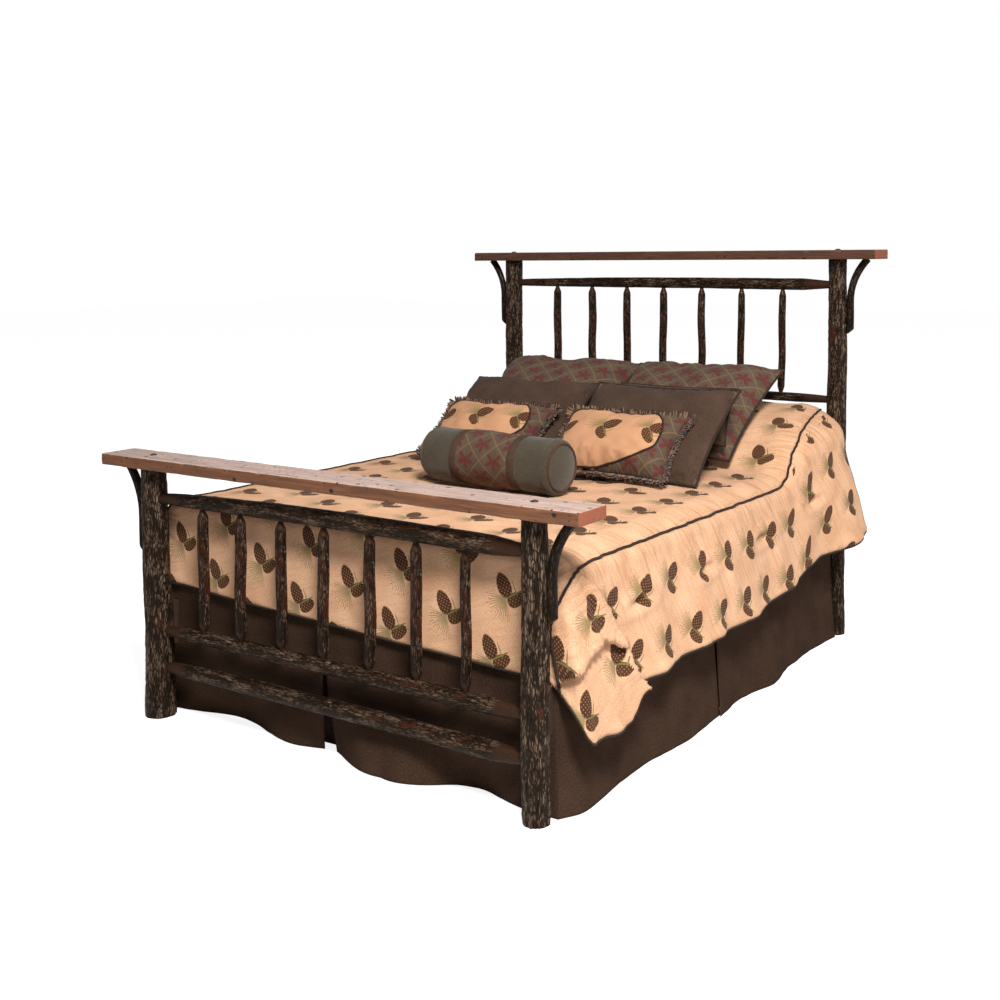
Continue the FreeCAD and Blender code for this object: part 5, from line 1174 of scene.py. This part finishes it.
# Backing strips behind the splits, and the deck cloth that carries the whole skirt.
for word, facing, middle, reach in (("foot", 0, -0.084, (0.984, 1.0004, 1.0168, 1.0168)),
                                    ("left", -1, -0.052, (0.8, 0.8, 0.8, 0.7668)),
                                    ("right", 1, -0.052, (0.8, 0.8, 0.8, 0.7668))):
    along, tall = np.meshgrid(middle + np.linspace(-0.095, 0.095, 24), np.linspace(0.003, 0.4820, 60))
    away = np.interp(tall, (0.003, 0.233, 0.388, 0.482), reach)
    away = away - 0.002 * np.cos((along - middle) * 33.0) * (0.5 - tall)
    strip = hang("skirt_pleat_" + word, along, away, tall, facing, 0.0014)[0]
    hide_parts("skirt_pleats")
along, wide = np.meshgrid(np.linspace(-1.0155, 1.0155, 60), np.linspace(-0.7615, 0.7615, 46), indexing="ij")
deck_sheet = put("skirt_deck_cloth", np.stack([wide, along, 0.4836 + 0 * wide], axis=-1),
                 grid_faces(*wide.shape), deck_cloth, uv=np.stack([wide, along], axis=-1))
thicken(deck_sheet, 0.0009)
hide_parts("skirt_deck")

# ----------------------------------------------------------------------
# Cushions: feather pads in sewn covers, leaning back on the rise over the bed pillows. Front and back
# meet in one seam all round, so the sides draw in between the corners and pucker beside the seam.
# ----------------------------------------------------------------------


def leaf_lattice(tree, cloth, body, height):
    """Jacquard of five-lobed leaves, one in each diamond of a gold trellis. A diamond is 125 mm wide and
    120 mm tall; a leaf's edge lies at a radius that swells five times round, with a thin stem below."""
    axes = add(tree, "ShaderNodeSeparateXYZ", {0: cloth})
    p = calc(tree, "MULTIPLY", axes.outputs["X"], 1.0 / 0.125)
    q = calc(tree, "MULTIPLY", axes.outputs["Y"], 1.0 / 0.12)
    rising = calc(tree, "ADD", p, q)
    falling = calc(tree, "SUBTRACT", p, q)
    shares = [calc(tree, "SUBTRACT", way, calc(tree, "ROUND", way)) for way in (rising, falling)]
    lines = [span(tree, calc(tree, "ABSOLUTE", share), 0.462, 0.485) for share in shares]
    gold = calc(tree, "MULTIPLY", calc(tree, "MAXIMUM", *lines), 0.5)
    body = mix(tree, gold, body, "#8A6238")
    x = calc(tree, "ADD", shares[0], shares[1])
    y = calc(tree, "SUBTRACT", shares[0], shares[1])
    x = calc(tree, "MULTIPLY", x, 48.0)
    y = calc(tree, "MULTIPLY_ADD", y, 46.0, 3.0)
    spot = add(tree, "ShaderNodeCombineXYZ", {0: x, 1: y})
    far = vector(tree, "LENGTH", spot).outputs["Value"]
    angle = calc(tree, "ARCTAN2", x, y)
    lobes = calc(tree, "MULTIPLY", angle, 2.9)
    lobes = calc(tree, "ABSOLUTE", calc(tree, "COSINE", lobes))
    lobes = calc(tree, "POWER", lobes, 1.2)
    teeth = calc(tree, "COSINE", calc(tree, "MULTIPLY", angle, 17.4))
    reach = calc(tree, "MULTIPLY_ADD", lobes, 14.5, 13.0)
    reach = calc(tree, "MULTIPLY_ADD", teeth, 2.3, reach)
    inside = calc(tree, "SUBTRACT", reach, far)
    leaf = span(tree, inside, -0.6, 1.0)
    upper = span(tree, calc(tree, "ABSOLUTE", angle), 2.55, 2.4)
    leaf = calc(tree, "MULTIPLY", leaf, upper)
    stem = add(tree, "ShaderNodeMapping", {0: spot, "Location": (1.5, -13.0, 0.0),
                                           "Rotation": (0.0, 0.0, 0.12), "Scale": (1.7, 15.0, 1.0)},
               vector_type="TEXTURE")
    stem = vector(tree, "LENGTH", stem).outputs["Value"]
    stem = span(tree, stem, 1.1, 0.9)
    veins = calc(tree, "SINE", calc(tree, "MULTIPLY", angle, 2.9))
    veins = calc(tree, "MULTIPLY", calc(tree, "ABSOLUTE", veins), far)
    veins = span(tree, veins, 2.6, 1.2)
    ink = mix(tree, veins, "#5E2D28", "#432C26")
    leaf = calc(tree, "MAXIMUM", leaf, stem)
    leaf = calc(tree, "MULTIPLY", leaf, 0.9)
    body = mix(tree, leaf, body, ink)
    return body, height


def cushion_points(width, depth, front, back, tilt, columns, rows, draw, seed):
    """Two crowned faces on one outline. Height is the product of two arches, flat in the middle and
    steep at the seam; the outline bows in by the draw between corners. Tilted back about its middle."""
    a, b = np.meshgrid(*(0.35 * np.sin(np.linspace(-np.pi / 2, np.pi / 2, count))
                         + 0.65 * np.linspace(-1, 1, count) for count in (columns, rows)))
    arch = (np.clip(1 - np.abs(a) ** 2.6, 0, 1) * np.clip(1 - np.abs(b) ** 2.4, 0, 1)) ** 0.52
    x = 0.5 * width * a * (1 - draw * (1 - b * b) * np.abs(a) ** 3)
    w = 0.5 * depth * b * (1 - draw * (1 - a * a) * np.abs(b) ** 3)
    round_at = np.arctan2(b, a) / (2 * np.pi) * 44
    near_seam = np.exp(-((1 - np.maximum(np.abs(a), np.abs(b))) / 0.22))
    crease = (0.10 * value_noise(a * 3.1 + seed, b * 2.7, seed)
              + 0.05 * value_noise(a * 7 + seed, b * 6, seed + 1)
              + 0.20 * near_seam * value_noise(round_at, near_seam * 1.5, seed + 3, 44))
    slope = np.radians(tilt)
    along = np.array([0.0, np.cos(slope), np.sin(slope)])
    face = np.array([0.0, -np.sin(slope), np.cos(slope)])
    sheets = []
    for crown, sign in ((front, 1.0), (back, -1.0)):
        height = sign * crown * arch * (1 + crease * arch)
        sheets.append(x[..., None] * [1.0, 0, 0] + w[..., None] * along + height[..., None] * face)
    return np.stack(sheets), a, b


def sewn_cushion(name, sheets, skins, flat, growth, cap):
    """Join the two faces at their seam, then let the cover grow a little while the seam stays put, so it
    buckles as stuffed cloth does; no point moves farther than the cap. Gives the seam's points too."""
    rows, columns = sheets.shape[1:3]
    index = np.arange(2 * rows * columns).reshape(2, rows, columns)
    rim = np.zeros((rows, columns), bool)
    rim[0] = rim[-1] = True
    rim[:, 0] = rim[:, -1] = True
    index[1][rim] = index[0][rim]
    used, index = np.unique(index, return_inverse=True)
    index = index.reshape(2, rows, columns)
    faces = []
    for side in range(2):
        k = index[side]
        quad = np.stack([k[:-1, :-1], k[:-1, 1:], k[1:, 1:], k[1:, :-1]], axis=-1).reshape(-1, 4)
        faces.append(quad if side == 0 else quad[:, ::-1])
    points = sheets.reshape(-1, 3)[used]
    piece = put(name, points, np.concatenate(faces), skins, uv=flat.reshape(-1, 2)[used])
    if len(skins) > 1:
        which = np.zeros(2 * len(faces[0]), np.int32)
        which[len(faces[0]):] = 1
        piece.data.polygons.foreach_set("material_index", which)
    ring = np.concatenate([index[0][0, :-1], index[0][:-1, -1], index[0][-1, :0:-1], index[0][:0:-1, 0]])
    held = piece.vertex_groups.new(name="seam")
    held.add([int(k) for k in ring], 1.0, "REPLACE")
    cloth = piece.modifiers.new("stuffing", "CLOTH")
    rules = cloth.settings
    rules.quality = 5
    rules.mass = 0.3
    rules.use_pressure = True
    rules.uniform_pressure_force = 4.0
    rules.tension_stiffness = 18.0
    rules.compression_stiffness = 18.0
    rules.shear_stiffness = 6.0
    rules.bending_stiffness = 0.25
    rules.shrink_min = -growth
    rules.vertex_group_mass = "seam"
    rules.effector_weights.gravity = 0.0
    cloth.collision_settings.use_collision = False
    cloth.collision_settings.use_self_collision = False
    cloth.point_cache.frame_start = 1
    cloth.point_cache.frame_end = 16
    for step in range(1, 17):
        bpy.context.scene.frame_set(step)
    depsgraph = bpy.context.evaluated_depsgraph_get()
    done = piece.evaluated_get(depsgraph).to_mesh()
    shift = points_of(done) - points
    far = np.linalg.norm(shift, axis=1)[:, None]
    points = points + shift * np.minimum(1.0, cap / np.maximum(far, 1e-6))
    piece.modifiers.clear()
    bpy.context.scene.frame_set(1)
    piece.data.vertices.foreach_set("co", points.astype(np.float32).ravel())
    piece.data.update()
    fine = piece.modifiers.new("fine", "SUBSURF")
    fine.levels = fine.render_levels = 1
    return piece, points[ring]


def laid_cushion(name, width, deep, front, back, tilt, rings, draw, skins, seed, growth, cap, shift):
    """A cushion amid its solid's box, moved by the shift. Gives the piece, its seam, and its points'
    places across and along it from -1 to 1."""
    lo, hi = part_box(name)
    sheets, a, b = cushion_points(width, deep, front, back, tilt, *rings, draw, seed)
    flat = sheets.reshape(-1, 3)
    middle = 0.5 * (np.array(lo) + np.array(hi)) - 0.5 * (flat.min(axis=0) + flat.max(axis=0)) + shift
    uv = np.broadcast_to(np.stack([0.5 * width * a, 0.5 * deep * b], axis=-1), sheets.shape[:3] + (2,))
    piece, seam = sewn_cushion(name + "_cover", sheets + middle, skins, uv, growth, cap)
    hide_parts(name)
    return piece, seam, a, b


leaf_cloth = woven("olive_leaf_jacquard", ("#453C32", "#605142"), 0.0014, fuzz=0.04, pattern=leaf_lattice)
brown_suede = woven("brown_pillow_suede", ("#34251D", "#554236"), 0.0030, fuzz=0.04, gloss=0.06)
velvet = woven("olive_brown_velvet", ("#352F23", "#4E4535"), 0.0035, fuzz=0.25)
cotton = woven("white_pillow_cotton", ("#E6E2D8", "#F4F1EA"), 0.0010)
rust_welt = woven("red_brown_welt_cord", ("#38231A", "#553A2E"), 0.0010, fuzz=0.1)
moved_by = {"rear_sham_left": (0.020, 0.0, 0.013), "rear_sham_right": (-0.017, 0.0, 0.015),
            "brown_sham_left": (0.009, 0.0, 0.006), "brown_sham_right": (-0.006, 0.0, 0.0)}
for name, width, deep, front, back, tilt, skins, slot, seed, growth, cap in (
        ("bed_pillow_left", 0.640, 0.490, 0.080, 0.080, 20, [cotton], "pillow_cotton", 21, 0.02, 0.008),
        ("bed_pillow_right", 0.640, 0.490, 0.080, 0.080, 20, [cotton], "pillow_cotton", 22, 0.02, 0.008),
        ("rear_sham_left", 0.666, 0.594, 0.104, 0.036, 31, [leaf_cloth], "leaf_jacquard", 23, 0.04, 0.012),
        ("rear_sham_right", 0.666, 0.594, 0.104, 0.036, 31, [leaf_cloth], "leaf_jacquard", 24, 0.04, 0.012),
        ("back_pillow", 0.514, 0.234, 0.080, 0.056, 62, [brown_suede], "brown_suede", 25, 0.04, 0.008),
        ("brown_sham_left", 0.618, 0.482, 0.086, 0.074, 36, [brown_suede, leaf_cloth], "brown_suede", 26,
         0.05, 0.012),
        ("brown_sham_right", 0.618, 0.482, 0.048, 0.040, 40, [brown_suede, leaf_cloth], "brown_suede", 27,
         0.05, 0.012)):
    seam = laid_cushion(name, width, deep, front, back, tilt, (84, 66), 0.060, skins, seed,
                        growth, cap, moved_by.get(name, (0.0, 0.0, 0.0)))[1]
    if slot != "pillow_cotton":
        line = cord(name + "_welt", seam, 0.0045, welt)
        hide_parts(name)

# ----------------------------------------------------------------------
# Oblong pillows: leaf cloth with an oval of the pine cone chenille let into the front behind a dark
# cord, and a brush fringe of tan, brown and burgundy yarn sewn into the seam.
# ----------------------------------------------------------------------


oval_x, oval_half, oval_tall, oval_power = -0.016, 0.226, 0.1440, 2.5
sag_share, sag_from = 0.16, -0.08


def oval_front(tree, cloth, body, height):
    """The cone chenille inside an oval with four flattened sides, the leaf cloth round it. The oval's
    edge is where the sum of the powers of the two shares of its half-axes is one; below the middle the
    oval hangs lower on the left, so its lower edge climbs to the right."""
    axes = add(tree, "ShaderNodeSeparateXYZ", {0: cloth})
    low = span(tree, axes.outputs["Y"], 0.0, sag_from, to_high=-sag_share)
    level = calc(tree, "MULTIPLY_ADD", low, axes.outputs["X"], axes.outputs["Y"])
    shares = []
    for place, middle, half in ((axes.outputs["X"], oval_x, oval_half), (level, 0.0, oval_tall)):
        share = calc(tree, "MULTIPLY", calc(tree, "ADD", place, -middle), 1.0 / half)
        shares.append(calc(tree, "POWER", calc(tree, "ABSOLUTE", share), oval_power))
    inside = span(tree, calc(tree, "ADD", *shares), 1.02, 0.98)
    fine = noise(tree, cloth, 600.0, 3.0)
    peach = mix(tree, fine, "#B07C58", "#CB9B77")
    turned = add(tree, "ShaderNodeMapping", {0: cloth, "Location": (0.1234, -0.0159, 0.0),
                                             "Rotation": (0.0, 0.0, np.radians(86.0))})
    peach, raised = cone_pairs(tree, turned, peach, height)
    leaf = leaf_lattice(tree, cloth, body, height)[0]
    return mix(tree, inside, leaf, peach), raised


boudoir_front = woven("chenille_oval_on_leaf_cloth", ("#453C32", "#605142"), 0.0014, fuzz=0.04,
                      pattern=oval_front)
yarns = [woven("tan_yarn", ("#6E5138", "#96755A"), 0.0010, fuzz=0.2),
         woven("brown_yarn", ("#2E2019", "#4A362A"), 0.0010, fuzz=0.2),
         woven("burgundy_yarn", ("#3E2420", "#5A332A"), 0.0010, fuzz=0.2)]


def brush_fringe(name, seam, middle, face, skins, seed):
    """Brush fringe: short thick yarns set side by side along a seam, each a tapering tube that curls
    towards the front. Three layers, shifted along the seam and leaning apart."""
    closed = np.concatenate([seam, seam[:1]])
    lengths = np.concatenate([[0], np.cumsum(np.linalg.norm(np.diff(closed, axis=0), axis=1))])
    count = int(lengths[-1] / 0.0040)
    places = np.arange(3 * count) / (3 * count) * lengths[-1]
    at = np.stack([np.interp(places, lengths, closed[:, k]) for k in range(3)], axis=1)
    ahead = np.stack([np.interp((places + 0.004) % lengths[-1], lengths, closed[:, k]) for k in range(3)],
                     axis=1) - at
    ahead /= np.linalg.norm(ahead, axis=1)[:, None] + 1e-9
    out = at - middle
    out -= (out @ face)[:, None] * face
    out -= (out * ahead).sum(axis=1)[:, None] * ahead * 0.8
    out /= np.linalg.norm(out, axis=1)[:, None]
    rng = np.random.default_rng(seed)
    layer = np.arange(3 * count) % 3 - 1
    lean = layer * 0.50 + rng.normal(0, 0.10, 3 * count)
    slant = rng.normal(0, 0.12, 3 * count)
    reach = rng.uniform(0.0190, 0.0240, 3 * count)
    curl = rng.normal(0.5, 0.35, 3 * count)
    way = (out * np.cos(lean)[:, None] + face * np.sin(lean)[:, None] + ahead * slant[:, None])
    share = np.linspace(0, 1, 5)
    spine = (at[:, None] + way[:, None] * (share[None, :, None] * reach[:, None, None])
             + face * (curl[:, None] * reach[:, None] * 0.5 * share[None, :] ** 2)[..., None])
    side = np.cross(way, face)
    side /= np.linalg.norm(side, axis=1)[:, None]
    over = np.cross(side, way)
    over /= np.linalg.norm(over, axis=1)[:, None]
    turn = 2 * np.pi * np.arange(5) / 5
    girth = 0.0031 * np.array([0.75, 1.0, 1.1, 1.05, 0.65])
    ring = (spine[:, :, None] + girth[None, :, None, None] * (
        np.cos(turn)[None, None, :, None] * side[:, None, None]
        + np.sin(turn)[None, None, :, None] * over[:, None, None]))
    total, per = 3 * count, 25
    base = grid_faces(5, 5, around=True)
    base = np.concatenate([base, [[24, 23, 22, 22], [24, 22, 21, 21], [24, 21, 20, 20],
                                  [0, 1, 2, 2], [0, 2, 3, 3], [0, 3, 4, 4]]])
    faces = (base[None] + per * np.arange(total)[:, None, None]).reshape(-1, 4)
    uv = np.stack([np.repeat(places, per), np.tile(np.repeat(share * 0.01, 5), total)], axis=1)
    piece = put(name, ring.reshape(-1, 3), faces, skins, uv=uv)
    tone = rng.choice(3, total, p=[0.42, 0.36, 0.22])
    which = np.repeat(tone, len(base)).astype(np.int32)
    if len(which) == len(piece.data.polygons):
        piece.data.polygons.foreach_set("material_index", which)
    return piece


for name, tilt, seed, shift in (("boudoir_pillow_left", 38, 28, (0.0, 0.0, 0.013)),
                                ("boudoir_pillow_right", 42, 29, (-0.018, 0.0, 0.012))):
    width, deep = 0.512, 0.302
    piece, seam, a, b = laid_cushion(name, width, deep, 0.080, 0.026, tilt, (84, 56), 0.085,
                                     [boudoir_front, leaf_cloth], seed, 0.03, 0.008,
                                     shift)
    spots = points_of(piece.data)[:a.size].reshape(a.shape + (3,))
    turn = np.linspace(0, 2 * np.pi, 161)[:-1]
    cos_t, sin_t = (np.sign(way) * np.abs(way) ** (2 / oval_power) for way in (np.cos(turn), np.sin(turn)))
    ring_x, ring_y = oval_x + oval_half * cos_t, oval_tall * sin_t
    sunk = ring_y + sag_share * ring_x
    ring_y = np.where(ring_y > 0, ring_y, np.where(sunk <= sag_from, sunk, ring_y / (1 + 2.0 * ring_x)))
    ring_y = np.clip(ring_y, -0.1475, 0.1475)
    col_at = np.interp(ring_x / (0.5 * width), a[0], np.arange(a.shape[1]))
    row_at = np.interp(ring_y / (0.5 * deep), b[:, 0], np.arange(b.shape[0]))
    i0 = np.minimum(row_at.astype(int), b.shape[0] - 2)
    j0 = np.minimum(col_at.astype(int), a.shape[1] - 2)
    fi, fj = (row_at - i0)[:, None], (col_at - j0)[:, None]
    line = (spots[i0, j0] * (1 - fi) * (1 - fj) + spots[i0 + 1, j0] * fi * (1 - fj)
            + spots[i0, j0 + 1] * (1 - fi) * fj + spots[i0 + 1, j0 + 1] * fi * fj)
    slope = np.radians(tilt)
    face = np.array([0.0, -np.sin(slope), np.cos(slope)])
    edge = cord(name + "_oval_cord", line + 0.001 * face, 0.0042, welt)
    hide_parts(name)
    fringe = brush_fringe(name + "_fringe", seam, spots.reshape(-1, 3).mean(axis=0), face, yarns, seed)
    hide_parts(name)

# ----------------------------------------------------------------------
# Bolster: a round roll with a leaf-cloth middle between two suede bands, velvet cuffs outside them and
# a velvet disc at each end, sewn in with a red-brown cord.
# ----------------------------------------------------------------------
lo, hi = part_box("bolster")
half_length_b, radius_b = 0.288, 0.0985
turn_b = np.radians(-3.2)
middle_b = np.array([0.057, 0.5 * (lo.y + hi.y), 0.5 * (lo.z + hi.z) + 0.0055])
axis_b = np.array([np.cos(turn_b), np.sin(turn_b), 0.0])
side_b = np.array([-np.sin(turn_b), np.cos(turn_b), 0.0])
top_b = np.array([0.0, 0.0, 1.0])
rim = np.linspace(0, np.pi / 2, 7)
end_in = np.array([0.15, 0.4, 0.65, 0.85])
bulge, band_x, bands = 0.010, 0.002, (0.113, 0.147)
right_x = np.concatenate([half_length_b - 0.022 + 0.022 * np.sin(rim),
                          half_length_b + bulge * (1 - end_in[::-1] ** 2)])
right_r = np.concatenate([radius_b - 0.020 + 0.020 * np.cos(rim), (radius_b - 0.020) * end_in[::-1]])
body_x = np.linspace(-half_length_b + 0.024, half_length_b - 0.024, 116)
profile_x = np.concatenate([-right_x[::-1], body_x, right_x])
body_r = radius_b + 0.002 * np.cos(np.pi * body_x / half_length_b)
for seam_at in bands:
    body_r -= 0.003 * np.exp(-((np.abs(body_x - band_x) - seam_at) / 0.004) ** 2)
profile_r = np.concatenate([right_r[::-1], body_r, right_r])
turn = 2 * np.pi * np.arange(96) / 96
px, pt = np.meshgrid(profile_x, turn, indexing="ij")
turns = pt / (2 * np.pi)
soft = (0.0022 * value_noise(turns * 9, px / 0.05, 50, 9)
        + 0.0012 * value_noise(turns * 26, px / 0.03, 51, 26)
        + 0.0016 * value_noise(turns * 30, px / 0.4, 52, 30) * np.exp(-((np.abs(px) - 0.28) / 0.02) ** 2))
pr = profile_r[:, None] + soft * np.minimum(1.0, profile_r[:, None] / radius_b)
roll = (middle_b + px[..., None] * axis_b + (pr * np.cos(pt))[..., None] * side_b
        + (pr * np.sin(pt))[..., None] * top_b)
roll[..., 2] = np.maximum(roll[..., 2], lo.z - 0.002)
rows, columns = px.shape
poles = np.stack([middle_b + way * (half_length_b + bulge) * axis_b for way in (-1, 1)])
on_end = np.abs(px) > half_length_b - 0.0005
uv = np.where(on_end[..., None], np.stack([2 + pr * np.cos(pt), pr * np.sin(pt)], axis=-1),
              np.stack([px, pt * radius_b], axis=-1)).reshape(-1, 2)
uv = np.concatenate([uv, [[2, 0], [2, 0]]])
piece = put("bolster_cover", np.concatenate([roll.reshape(-1, 3), poles]), tube_faces(rows, columns),
            [velvet, brown_suede, leaf_cloth], uv=uv)
mid_x = np.concatenate([0.5 * (px[:-1] + px[1:])[:, 0].repeat(columns), np.full(2 * columns, 1.0)])
from_middle = np.abs(mid_x - band_x)
which = np.where(from_middle < bands[0], 2, np.where(from_middle < bands[1], 1, 0))
piece.data.polygons.foreach_set("material_index", which.astype(np.int32))
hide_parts("bolster")
for word, place in (("left", -half_length_b), ("right", half_length_b)):
    turn = np.linspace(0, 2 * np.pi, 97)[:-1]
    rim_line = (middle_b + (place + np.sign(place) * 0.0005) * axis_b
                + (radius_b - 0.017) * (np.cos(turn)[:, None] * side_b + np.sin(turn)[:, None] * top_b))
    edge = cord("bolster_cord_" + word, rim_line, 0.0045, rust_welt)
    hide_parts("bolster")
